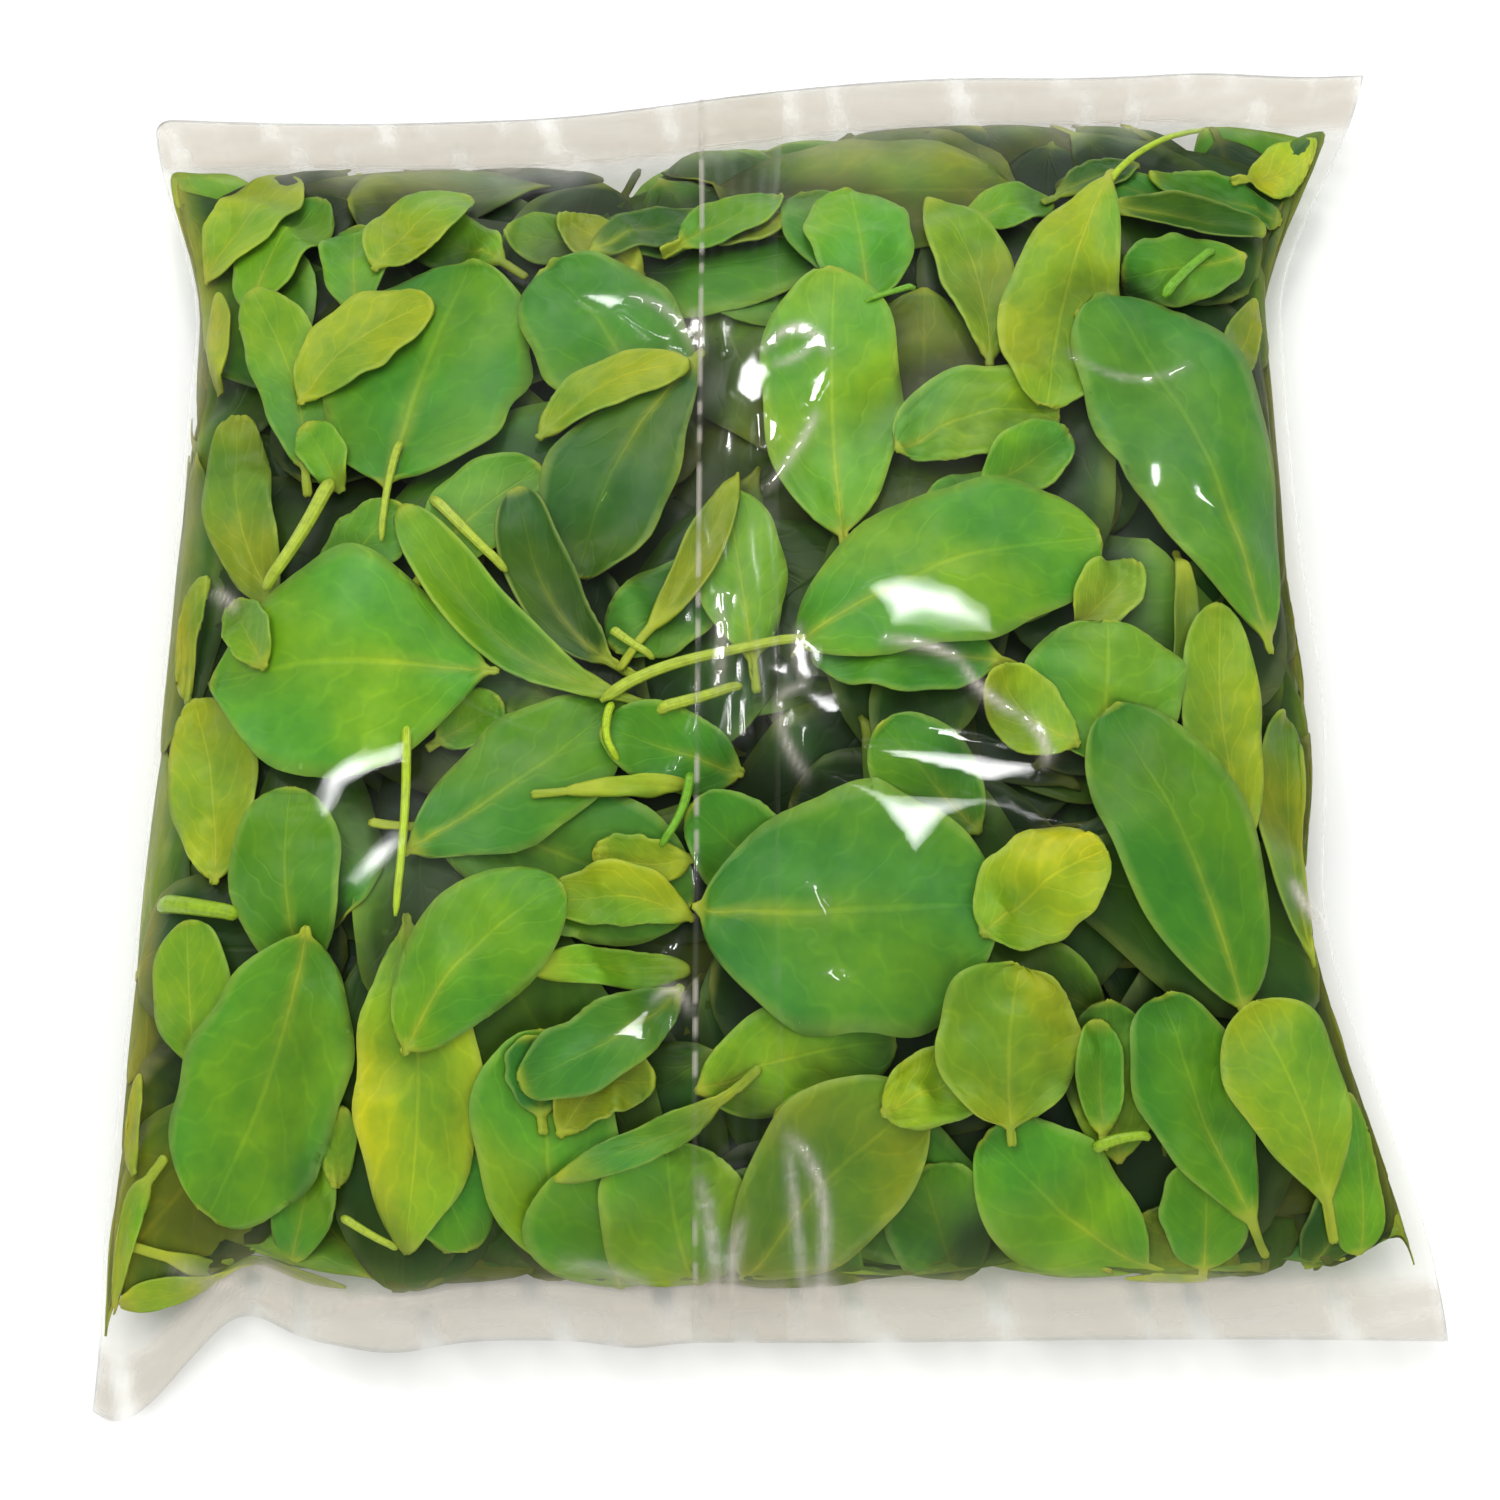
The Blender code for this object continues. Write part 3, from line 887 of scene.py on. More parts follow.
def rim_quads(rows, columns, offset):
    """Quads that close the edge between a grid and its copy offset corners later."""
    number = np.arange(rows * columns).reshape(rows, columns)
    loop = np.concatenate([number[0, :-1], number[:-1, -1], number[-1, :0:-1], number[:0:-1, 0]])
    following = np.roll(loop, -1)
    return np.stack([loop, loop + offset, following + offset, following], axis=-1)


def thin_solid(points, thickness):
    """Corners and quads of a sheet with a thickness: the grid, its copy below, and its rim."""
    rows, columns = points.shape[:2]
    normal = grid_normals(points)
    both = np.concatenate([(points + normal * thickness / 2).reshape(-1, 3),
                           (points - normal * thickness / 2).reshape(-1, 3)])
    count = rows * columns
    top = quads_of(rows, columns)
    return both, np.concatenate([top, top[:, ::-1] + count, rim_quads(rows, columns, count)])


def mesh_object(name, corners, faces, material, uv=None, tint=None, values=None):
    """A smooth-shaded object of the bag, with its UV maps, colours and values on its corners."""
    mesh = bpy.data.meshes.new(name)
    mesh.from_pydata(np.asarray(corners).tolist(), [], faces if isinstance(faces, list) else faces.tolist())
    used = np.empty(len(mesh.loops), np.int64)
    mesh.loops.foreach_get("vertex_index", used)
    for layer, pairs in (uv or {}).items():
        mesh.uv_layers.new(name=layer).data.foreach_set("uv", np.asarray(pairs, np.float32)[used].ravel())
    if tint is not None:
        mesh.color_attributes.new("leaf_colour", "FLOAT_COLOR", "POINT").data.foreach_set(
            "color", np.asarray(tint, np.float32).ravel())
    for attribute, numbers in (values or {}).items():
        mesh.attributes.new(attribute, "FLOAT", "POINT").data.foreach_set(
            "value", np.asarray(numbers, np.float32).ravel())
    mesh.shade_smooth()
    mesh.materials.append(material)
    made = bpy.data.objects.new(name, mesh)
    bpy.context.scene.collection.objects.link(made)
    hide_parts("spinach_bag")
    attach(made, "root")
    return made


def leaf_object(name, blades, bed, upper, painted_shade, material):
    """One object of many blades, each a thin wavy solid, below the upper or on the lower film."""
    corners, faces, blade_uv, plane_uv, tints, veined = [], [], [], [], [], []
    count = 0
    for blade in blades:
        depth = depth_below(bed, blade)
        points = np.stack([blade.x, blade.y, pressed(blade, depth, upper)], axis=-1)
        solid, quads = thin_solid(points, sizes().leaf_thickness)
        corners.append(solid)
        faces.append(quads + count)
        count += len(solid)
        along = np.stack([blade.q, 0.5 + 0.5 * blade.s], axis=-1).reshape(-1, 2)
        spread = np.stack([blade.q * blade.length, blade.s * blade.half], axis=-1).reshape(-1, 2)
        blade_uv += [along, along]
        plane_uv += [spread * 10.0 + blade.offset] * 2
        tints += [blade.tint(depth, painted_shade).reshape(-1, 4)] * 2
        veined += [blade.veined.ravel()] * 2
    return mesh_object(name, np.concatenate(corners), np.concatenate(faces), material,
                       uv={"blade": np.concatenate(blade_uv), "plane": np.concatenate(plane_uv)},
                       tint=np.concatenate(tints), values={"veined": np.concatenate(veined)})


@functools.cache
def crease_fields():
    """Height that the creases and facets add to the plain sheet, how crisply each place mirrors,
    and how hazy it is, on a net of samples. Wide creases are soft ridges, and narrow ones are
    rows of facets whose crest is hazy white: partly the whitening of a sharp fold and partly a
    painted highlight along it."""
    u, v = np.meshgrid(*(np.linspace(-1.0, 1.0, count) for count in FIELD_NET))
    x, y = plan(u, v)
    plain = bag_height(u, v, True)
    added, crisp, crest_haze_and_glint = np.zeros((3, *x.shape))
    outlines = [(on_bag(outline), SOFT_EDGE) for outline in FACETS]
    for start, middle, end, width, stand in CREASES:
        line = on_bag([start, middle, end])
        if width < SOFT_CREASE:
            outlines += [(quad, 0.0) for quad in strip_quads(line, 1.2 * width * 0.001)]
            # A narrow crease's crest is drawn hazy white by its stand: partly whitening of the fold, partly
            # painted highlight
            crest_haze_and_glint = np.maximum(crest_haze_and_glint, stand * ridge(x, y, line, 0.5 * width * 0.001))
        else:
            added += stand * 0.001 * ridge(x, y, line, width * 0.001)
    for corners, soft_edge in outlines:
        outside = beyond(x, y, corners)
        share = smooth(1.0 - outside / FEATHER)
        added = with_facet(added, plain, x, y, share, corners.mean(axis=0))
        deepest = max(-float(outside.min()), 1e-6)
        fade = soft_edge * min(1.0, deepest / WIDE_FACET) * (1.0 - smooth(-outside / deepest))
        crisp = np.maximum(crisp, share * (1.0 - fade))
    return added, crisp, crest_haze_and_glint


def mirror_slopes(point):
    """For each light that shows in gloss, the slope at which a sheet mirrors it to the camera:
    that of the plane square to the line half way between the two directions."""
    to_camera = camera_axes()[0] - point
    to_camera /= np.linalg.norm(to_camera)
    slopes = []
    for direction, distance, _, _, _, glossy in LIGHTS.values():
        if glossy:
            direction = np.array(direction) / np.linalg.norm(direction)
            to_light = np.array(AIM) + direction * distance - point
            half_way = to_camera + to_light / np.linalg.norm(to_light)
            slopes.append(-half_way[:2] / half_way[2])
    return slopes


def beyond(x, y, outline):
    """How far each place lies outside a closed outline, and below 0 inside it: the least distance
    to its sides, with the inside found by how often a line to the right crosses them."""
    gap = np.full(x.shape, 1e9)
    inside = np.zeros(x.shape, bool)
    for (ax, ay), (bx, by) in zip(outline, np.roll(outline, -1, axis=0)):
        run_x, run_y = bx - ax, by - ay
        t = np.clip(((x - ax) * run_x + (y - ay) * run_y) / (run_x**2 + run_y**2), 0.0, 1.0)
        gap = np.minimum(gap, np.hypot(x - ax - t * run_x, y - ay - t * run_y))
        left_of = (x - ax) * run_y * np.sign(run_y) < (y - ay) * run_x * np.sign(run_y)
        inside ^= ((ay > y) != (by > y)) & left_of
    return np.where(inside, -gap, gap)


def with_facet(added, plain, x, y, share, middle):
    """The added height with one flat facet: where its share is 1 the sheet is the plane that
    mirrors the light nearest in slope, and it blends into the rest as the share falls."""
    near = share > 0.01
    off_x, off_y = x - middle[0], y - middle[1]
    heights = (plain + added)[near]
    fit = np.linalg.lstsq(np.column_stack([off_x[near], off_y[near], np.ones(len(heights))]),
                          heights, rcond=None)[0]
    slopes = mirror_slopes(np.array([middle[0], middle[1], fit[2]]))
    slope = min(slopes, key=lambda each: np.hypot(*(each - fit[:2])))
    plane = fit[2] + slope[0] * off_x + slope[1] * off_y
    plane = plane + 0.5 * max(0.0, float((heights - plane[near]).max()))
    return added * (1.0 - share) + (plane - plain) * share


def curve(line, t):
    """Points at t from 0 to 1 of the quadratic curve through three points."""
    start, middle, end = line
    handle = 2.0 * middle - 0.5 * (start + end)
    return (1 - t) ** 2 * start + 2 * t * (1 - t) * handle + t**2 * end


def strip_quads(line, width):
    """A bent line of some width, cut into flat quads."""
    spine = curve(line, np.linspace(0.0, 1.0, STRIP_QUADS + 1)[:, None])
    run = np.gradient(spine, axis=0)
    run /= np.linalg.norm(run, axis=1, keepdims=True)
    side = np.column_stack([-run[:, 1], run[:, 0]]) * width / 2.0
    left, right = spine + side, spine - side
    return [np.array([left[i], left[i + 1], right[i + 1], right[i]]) for i in range(STRIP_QUADS)]


def ridge(x, y, line, width):
    """A bell across a bent line and a taper to its ends: each place takes its nearest point on
    the line's curve."""
    nearest = np.full(x.shape, 1e9)
    along = np.zeros(x.shape)
    for t in np.linspace(0.0, 1.0, CURVE_STEPS):
        point = curve(line, t)
        gap = (x - point[0]) ** 2 + (y - point[1]) ** 2
        nearer = gap < nearest
        nearest = np.where(nearer, gap, nearest)
        along = np.where(nearer, t, along)
    taper = np.sqrt(np.clip(np.sin(math.pi * (0.04 + 0.92 * along)), 0.0, 1.0))
    return taper / (1.0 + nearest / width**2) ** 1.5


def sampled(field, u, v):
    """Values of a field on its net of samples, taken linearly at u and v."""
    rows, columns = field.shape
    row = (np.clip(v, -1, 1) + 1.0) / 2.0 * (rows - 1)
    column = (np.clip(u, -1, 1) + 1.0) / 2.0 * (columns - 1)
    r = np.minimum(row.astype(int), rows - 2)
    c = np.minimum(column.astype(int), columns - 2)
    a, b = row - r, column - c
    return ((1 - a) * ((1 - b) * field[r, c] + b * field[r, c + 1])
            + a * ((1 - b) * field[r + 1, c] + b * field[r + 1, c + 1]))


@functools.cache
def pleat_waves():
    """Pitch, start and lean of the pleats that run out from the two seals."""
    draw = np.random.default_rng(sizes().seed + 3)
    return [(draw.uniform(20.0, 75.0), draw.uniform(0, 6.3), draw.uniform(-3.0, 3.0))
            for _ in range(PLEAT_WAVES)]


def pleats(u, v):
    """Waves across the bag that are strongest at a seal and fade within 35 mm of it."""
    inside = np.maximum(seal_line() - np.abs(v), 0.0) * LENGTH / 2.0
    fade = np.exp(-inside / PLEAT_FADE) * smooth(inside / PLEAT_START)
    waves = sum(np.sin(pitch * u + start + lean * v * 4.0) for pitch, start, lean in pleat_waves())
    return PLEAT_HEIGHT * waves * fade


def film_height(u, v):
    """Height of the upper film: the plain sheet with its creases and pleats."""
    u, v = np.broadcast_arrays(u, v)
    give = smooth(fullness(u, v) / 0.35)
    return bag_height(u, v, True) + sampled(crease_fields()[0], u, v) * give + pleats(u, v)


# Materials


def node(tree, kind, inputs=None, **settings):
    """Adds a node: settings go to its properties, and inputs to its sockets as values or links. A
    node given as an input stands for its first output."""
    made = tree.nodes.new("ShaderNode" + kind)
    for name, value in settings.items():
        setattr(made, name, value)
    for socket, value in (inputs or {}).items():
        value = value.outputs[0] if isinstance(value, bpy.types.Node) else value
        if isinstance(value, bpy.types.NodeSocket):
            tree.links.new(value, made.inputs[socket])
        else:
            made.inputs[socket].default_value = value
    return made


def new_material(name):
    material = bpy.data.materials.new(name)
    material.use_nodes = True
    material.node_tree.nodes.clear()
    return material, material.node_tree


def blade_material():
    """Fresh spinach blade: a satin waxy skin, soft pale veins sunk into it with a low quilt
    between them, and light that comes through the thin flesh in the same green."""
    material, tree = new_material("fresh_spinach_blade")
    blade = node(tree, "UVMap", uv_map="blade")
    plane = node(tree, "UVMap", uv_map="plane")
    tint = node(tree, "Attribute", attribute_name="leaf_colour")
    mottle = node(tree, "TexNoise", {"Vector": plane, "Scale": 8.0, "Detail": 4.0, "Roughness": 0.68})
    quilt = node(tree, "TexNoise", {"Vector": plane, "Scale": 22.0, "Detail": 0.0})
    parts = node(tree, "SeparateXYZ", {0: blade})
    centred = node(tree, "Math", {0: parts.outputs["Y"], 1: 0.5}, operation="SUBTRACT")
    side = node(tree, "Math", {0: centred}, operation="ABSOLUTE")
    along = node(tree, "Math", {0: parts.outputs["X"], 1: VEIN_PAIRS, 2: quilt}, operation="MULTIPLY_ADD")
    phase = node(tree, "Math", {0: side, 1: -2.0 * VEIN_SLANT, 2: along}, operation="MULTIPLY_ADD")
    saw = node(tree, "Math", {0: phase, 1: 0.5}, operation="PINGPONG")
    lateral = node(tree, "MapRange", {
        "Value": saw, "From Max": 0.14, "To Min": 0.40, "To Max": 0.0,
    }, interpolation_type="SMOOTHSTEP")
    midrib = node(tree, "MapRange", {
        "Value": side, "From Min": 0.004, "From Max": 0.022, "To Min": 0.75, "To Max": 0.0,
    }, interpolation_type="SMOOTHSTEP")
    both_veins = node(tree, "Math", {0: lateral, 1: midrib}, operation="MAXIMUM")
    veined = node(tree, "Attribute", attribute_name="veined")
    veins = node(tree, "Math", {0: both_veins, 1: veined.outputs["Fac"]}, operation="MULTIPLY")
    warm = node(tree, "MapRange", {"Value": mottle, "From Min": 0.33, "From Max": 0.67})
    cast = node(tree, "Mix", {
        "Factor": warm, "A": (0.72, 0.84, 0.92, 1.0), "B": (1.34, 1.14, 0.86, 1.0),
    }, data_type="RGBA")
    flesh = node(tree, "VectorMath", {0: tint.outputs["Color"], 1: cast.outputs["Result"]},
                 operation="MULTIPLY")
    bright = node(tree, "VectorMath", {0: flesh, 1: (1.75, 1.42, 1.30)}, operation="MULTIPLY")
    share = node(tree, "Math", {0: veins, 1: 0.55}, operation="MULTIPLY")
    skin = node(tree, "Mix", {"Factor": share, "A": flesh, "B": bright}, data_type="RGBA")
    sink = node(tree, "Bump", {"Strength": 0.30, "Distance": 0.0004, "Height": veins}, invert=True)
    swell = node(tree, "Bump", {"Strength": 0.45, "Distance": 0.0008, "Height": quilt, "Normal": sink})
    body = node(tree, "BsdfPrincipled", {
        "Base Color": skin.outputs["Result"], "Roughness": 0.46, "IOR": 1.45, "Normal": swell,
    })
    through = node(tree, "BsdfTranslucent", {"Color": skin.outputs["Result"], "Normal": swell})
    both = node(tree, "MixShader", {0: 0.22, 1: body, 2: through})
    node(tree, "OutputMaterial", {0: both})
    return material


def stalk_material():
    """Spinach stalk: wet-looking pale flesh with fine ribs along it."""
    material, tree = new_material("fresh_spinach_stalk")
    run = node(tree, "UVMap", uv_map="blade")
    ribs = node(tree, "TexWave", {"Vector": run, "Scale": 3.0, "Distortion": 0.6}, bands_direction="Y")
    mottle = node(tree, "TexNoise", {"Vector": run, "Scale": 6.0, "Detail": 3.0})
    tint = node(tree, "Attribute", attribute_name="leaf_colour")
    light = node(tree, "MapRange", {
        "Value": mottle, "From Min": 0.3, "From Max": 0.7, "To Min": 0.75, "To Max": 1.15,
    })
    colour = node(tree, "VectorMath", {0: tint.outputs["Color"], "Scale": light}, operation="SCALE")
    relief_bump = node(tree, "Bump", {"Strength": 0.3, "Distance": 0.0003, "Height": ribs.outputs["Fac"]})
    body = node(tree, "BsdfPrincipled", {
        "Base Color": colour, "Roughness": 0.35, "IOR": 1.45, "Normal": relief_bump,
    })
    node(tree, "OutputMaterial", {0: body})
    return material


def painted_shade_core_material():
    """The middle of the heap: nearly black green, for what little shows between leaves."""
    material, tree = new_material("shaded_spinach")
    # The core's dark greens are painted shade for the depths of the heap
    noise = node(tree, "TexNoise", {"Scale": 90.0, "Detail": 4.0})
    colour = node(tree, "Mix", {
        "Factor": noise, "A": colours().core[:], "B": hex_linear("#2C4A18"),
    }, data_type="RGBA")
    rough = node(tree, "Bump", {"Strength": 0.6, "Distance": 0.002, "Height": noise})
    body = node(tree, "BsdfPrincipled", {
        "Base Color": colour.outputs["Result"], "Roughness": 0.7, "Normal": rough,
    })
    node(tree, "OutputMaterial", {0: body})
    return material


def film_material():
    """Clear polypropylene film, drawn thin: gloss by Fresnel on its outer side, crisp on its
    folds, soft where leaves crowd it and pale at a glancing angle, nearly no colour, a fine
    crinkle, and a pale haze where it is sealed."""
    material, tree = new_material("clear_polypropylene_film")
    place = node(tree, "TexCoord")
    haze = node(tree, "Attribute", attribute_name="haze")
    crinkle = node(tree, "TexNoise", {"Vector": place.outputs["Object"], "Scale": 85.0, "Detail": 0.0})
    skin = node(tree, "Bump", {"Strength": 0.25, "Distance": 0.0007, "Height": crinkle})
    side = node(tree, "NewGeometry")
    outer = node(tree, "Math", {0: 1.0, 1: side.outputs["Backfacing"]}, operation="SUBTRACT")
    fresnel = node(tree, "Fresnel", {"IOR": 1.49})
    share = node(tree, "MapRange", {
        "Value": fresnel, "From Min": 0.04, "From Max": 0.6, "To Min": 0.055, "To Max": 0.18,
    })
    glancing = node(tree, "MapRange", {"Value": fresnel, "From Min": 0.10, "From Max": 0.6, "To Max": 0.45})
    crisp = node(tree, "Attribute", attribute_name="crisp")
    strength = node(tree, "MapRange", {"Value": crisp.outputs["Fac"], "To Min": 0.12})
    shine = node(tree, "Math", {0: share, 1: strength, 2: glancing}, operation="MULTIPLY_ADD")
    glossy_share = node(tree, "Math", {0: shine, 1: outer}, operation="MULTIPLY")
    roughness = node(tree, "MapRange", {"Value": crisp.outputs["Fac"], "To Min": 0.28, "To Max": 0.08})
    clear = node(tree, "BsdfTransparent", {"Color": (0.985, 0.985, 0.975, 1.0)})
    milk = node(tree, "BsdfPrincipled", {
        "Base Color": colours().film[:], "Roughness": 0.45, "Specular IOR Level": 0.2,
    })
    sheet = node(tree, "MixShader", {0: haze.outputs["Fac"], 1: clear, 2: milk})
    gloss = node(tree, "BsdfGlossy", {
        "Color": (1.0, 1.0, 1.0, 1.0), "Roughness": roughness, "Normal": skin,
    })
    both = node(tree, "MixShader", {0: glossy_share, 1: sheet, 2: gloss})
    node(tree, "OutputMaterial", {0: both})
    return material


def floor_material():
    """Matt white board: even and without gloss."""
    material, tree = new_material("matt_white_board")
    body = node(tree, "BsdfPrincipled", {
        "Base Color": colours().floor[:], "Roughness": 0.8, "Specular IOR Level": 0.2,
    })
    node(tree, "OutputMaterial", {0: body})
    return material


# Pieces


def closed_bag(columns, rows, upper_z, lower_z):
    """Corners and faces of a bag closed along its edge: a fine upper grid, a lower grid of half
    as many cells, and between them faces with the upper edge's extra corners."""
    u, v = np.meshgrid(np.linspace(-1, 1, columns * 2 + 1), np.linspace(-1, 1, rows * 2 + 1))
    x, y = film_plan(u, v)
    upper = np.stack([x, y, upper_z(u, v)], axis=-1)
    wide, high = columns * 2 + 1, rows * 2 + 1
    number = np.arange(wide * high).reshape(high, wide)
    faces = quads_of(high, wide).tolist()
    inner = (slice(2, -2, 2), slice(2, -2, 2))
    lower = np.stack([x[inner], y[inner], lower_z(u, v)[inner]], axis=-1)
    below = number[::2, ::2].copy()
    below[1:-1, 1:-1] = wide * high + np.arange(lower.shape[0] * lower.shape[1]).reshape(lower.shape[:2])
    for row in range(rows):
        for column in range(columns):
            turns = (
                (below[row, column], column == 0, number[2 * row + 1, 0]),
                (below[row + 1, column], row == rows - 1, number[-1, 2 * column + 1]),
                (below[row + 1, column + 1], column == columns - 1, number[2 * row + 1, -1]),
                (below[row, column + 1], row == 0, number[0, 2 * column + 1]),
            )
            face = []
            for corner, on_edge, extra in turns:
                face += [int(corner)] + [int(extra)] * on_edge
            faces.append(face)
    return np.concatenate([upper.reshape(-1, 3), lower.reshape(-1, 3)]), faces


def film_haze(u, v):
    """How hazy the film is: most in the seals, in streaks and with clear patches, some along the
    side folds and next to the seals, and nearly nothing elsewhere. At the very edge the haze is
    thinned, so that the steep rim, which the lamps above barely light, shows the floor through it
    instead of grey shade."""
    inner = np.abs(v) / seal_line()
    seal = smooth((inner - 0.985) / 0.03)
    near = HAZE_NEAR_SEAL * smooth((inner - 0.93) / 0.07)
    side = HAZE_AT_FOLD * smooth((np.abs(u) - 0.95) / 0.05)
    lines = np.sin(140.0 * v + 8.0 * np.sin(4.0 * u)) + np.sin(31.0 * u + 9.0 * v) * np.sin(13.0 * u)
    patches = smooth(np.sin(19.0 * u + 1.0) * np.sin(47.0 * u + 30.0 * v) + 0.4 * np.sin(90.0 * u) - 0.1)
    milk = np.where(v > 0.0, TOP_MILK, FOOT_MILK) + STREAKS * lines - CLEARINGS * patches
    edge = smooth((np.maximum(np.abs(u), np.abs(v)) - 0.991) / 0.009)
    return (milk * seal + np.maximum(near, side) * (1.0 - seal)) * (1.0 - 0.7 * edge)


def film_plan(u, v):
    """The plan with its top left corner rounded: what lies in the square of the corner is drawn
    into the quarter disc in it."""
    x, y = plan(u, v)
    corner_x, corner_y = plan(np.array(-1.0), np.array(1.0))
    off_x, off_y = CORNER_ROUND - (x - corner_x), CORNER_ROUND - (corner_y - y)
    cornered = (off_x > 0.0) & (off_y > 0.0)
    reach = np.maximum(np.hypot(off_x, off_y), 1e-9)
    draw_in = np.where(cornered, np.maximum(off_x, off_y) / reach, 1.0)
    return (np.where(cornered, corner_x + CORNER_ROUND - off_x * draw_in, x),
            np.where(cornered, corner_y - CORNER_ROUND + off_y * draw_in, y))


class SPINACH_OT_film(bpy.types.Operator):
    """Adds the film tube with its two seals, creased over the leaves"""

    bl_idname = "spinach.film"
    bl_label = "Film"

    def execute(self, context):
        corners, faces = closed_bag(*FILM_CELLS, film_height, lambda u, v: bag_height(u, v, False))
        u, v = across_along(corners[:, 0], corners[:, 1])
        # The creases' white crests go into the haze: partly whitening of the folds, partly painted highlight
        crisp, crest_haze_and_glint = (sampled(field, u, v) for field in crease_fields()[1:])
        mesh_object("film", corners, faces, film_material(),
                    values={"haze": film_haze(u, v) + crest_haze_and_glint, "crisp": crisp})
        return {"FINISHED"}


class SPINACH_OT_fin(bpy.types.Operator):
    """Adds the back seam's fin, folded flat along the middle of the film"""

    bl_idname = "spinach.fin"
    bl_label = "Back seam"

    def execute(self, context):
        """The fin follows the film, with fine pulls along it and a hazy weld at its left edge, broken into
        dashes that are painted glints.
        """
        s, v = np.meshgrid(np.linspace(-1, 1, FIN_NET[0]), np.linspace(-0.998, 0.998, FIN_NET[1]))
        half = FIN_WIDTH / 2.0 / ((WAIST_LEFT + WAIST_RIGHT) / 2.0)
        x, y = plan(s * half, v)
        pulls = np.sin(17.0 * s + 3.0 * np.sin(5.0 * v)) * smooth(0.4 + np.sin(8.0 * v + 2.0))
        lift = FIN_LIFT * np.maximum(np.sin(23.0 * v + 1.5 * s) * np.sin(7.0 * v + 1.0), 0.0) * (1.0 - s)
        z = film_height(s * half, v) + FIN_STAND + lift + PULL_HEIGHT * pulls
        solid, faces = thin_solid(np.stack([x, y, z], axis=-1), FIN_THICKNESS)
        seal = 0.01 * smooth((np.abs(v) / seal_line() - 0.985) / 0.03)
        # Painted glints: the weld's haze is broken into bright dashes along the seam's left edge
        painted_glint_dashes = smooth(0.5 + 1.4 * np.sin(60.0 * v + 4.0 * np.sin(21.0 * v)))
        weld_and_painted_glint = 0.42 * bump(s, -0.95, 0.05) * (0.08 + 0.92 * painted_glint_dashes)
        haze = np.maximum(seal, weld_and_painted_glint + 0.02 * bump(s, 0.97, 0.05)).ravel()
        pulled = 0.5 * smooth(pulls) * smooth((0.88 - np.abs(v)) / 0.1)
        crisp = np.maximum(sampled(crease_fields()[1], s * half, v), pulled).ravel()
        material = bpy.data.materials["clear_polypropylene_film"]
        mesh_object("back_seam_fin", solid, faces, material,
                    values={"haze": np.tile(haze, 2), "crisp": np.tile(crisp, 2)})
        return {"FINISHED"}


class SPINACH_OT_leaves(bpy.types.Operator):
    """Adds the leaves that show, the fillers below them and the leaves underneath"""

    bl_idname = "spinach.leaves"
    bl_label = "Leaves"

    def execute(self, context):
        material = blade_material()
        fillers, shown, under, top, bottom = heap_of_leaves()
        # Each object's leaves take painted shade by depth, the shown ones less than the rest
        leaf_object("shown_leaves", shown, top, True, SHOWN_PAINTED_SHADE, material)
        leaf_object("filler_leaves", fillers, top, True, HEAP_PAINTED_SHADE, material)
        leaf_object("leaves_underneath", under, bottom, False, HEAP_PAINTED_SHADE, material)
        return {"FINISHED"}


class SPINACH_OT_stalks(bpy.types.Operator):
    """Adds the stalks that show as thin round rods lying on the leaves"""

    bl_idname = "spinach.stalks"
    bl_label = "Stalks"

    def execute(self, context):
        corners, faces, uvs, tints, count = [], [], [], [], 0
        t = np.linspace(0.0, 1.0, STALK_RINGS)[:, None]
        turn = np.linspace(0, 2 * math.pi, STALK_SIDES + 1)[:-1]
        for start, middle, end, width, tone in STALKS:
            spine = curve(on_bag([start, middle, end]), t)
            u, v = across_along(spine[:, 0], spine[:, 1])
            radius = width * metres_per_pixel() / 2.0
            ends = np.clip(np.sin(math.pi * (0.03 + 0.94 * t[:, 0])) * 4, 0.25, 1.0)
            girth = radius * (1.0 - 0.25 * t[:, 0]) * ends
            dip = STALK_DIP * (1.0 - smooth(t[:, 0] / 0.15) + smooth((t[:, 0] - 0.85) / 0.15))
            z = ceiling(u, v) - sizes().film_gap - radius * STALK_SUNK - dip
            middle_line = np.column_stack([spine, z])
            run = np.gradient(middle_line, axis=0)
            run /= np.linalg.norm(run, axis=1, keepdims=True)
            side = np.cross(run, [0.0, 0.0, 1.0])
            side /= np.linalg.norm(side, axis=1, keepdims=True)
            rise = np.cross(side, run)
            ring = (np.cos(turn)[None, :, None] * side[:, None, :]
                    + 0.8 * np.sin(turn)[None, :, None] * rise[:, None, :])
            tube = middle_line[:, None, :] + girth[:, None, None] * ring
            number = np.arange(STALK_RINGS * STALK_SIDES).reshape(STALK_RINGS, STALK_SIDES) + count
            following = np.roll(number, -1, axis=1)
            quads = np.stack([number[:-1], number[1:], following[1:], following[:-1]], axis=-1)
            faces += quads.reshape(-1, 4).tolist() + [number[0].tolist(), number[-1, ::-1].tolist()]
            corners.append(tube.reshape(-1, 3))
            run_and_turn = np.broadcast_arrays(t * 3.0, turn[None, :] / (2 * math.pi))
            uvs.append(np.stack(run_and_turn, axis=-1).reshape(-1, 2))
            tints.append(np.tile(np.array(getattr(colours(), tone)[:]), (number.size, 1)))
            count += number.size
        mesh_object("stalks", np.concatenate(corners), faces, stalk_material(),
                    uv={"blade": np.concatenate(uvs)}, tint=np.concatenate(tints))
        return {"FINISHED"}


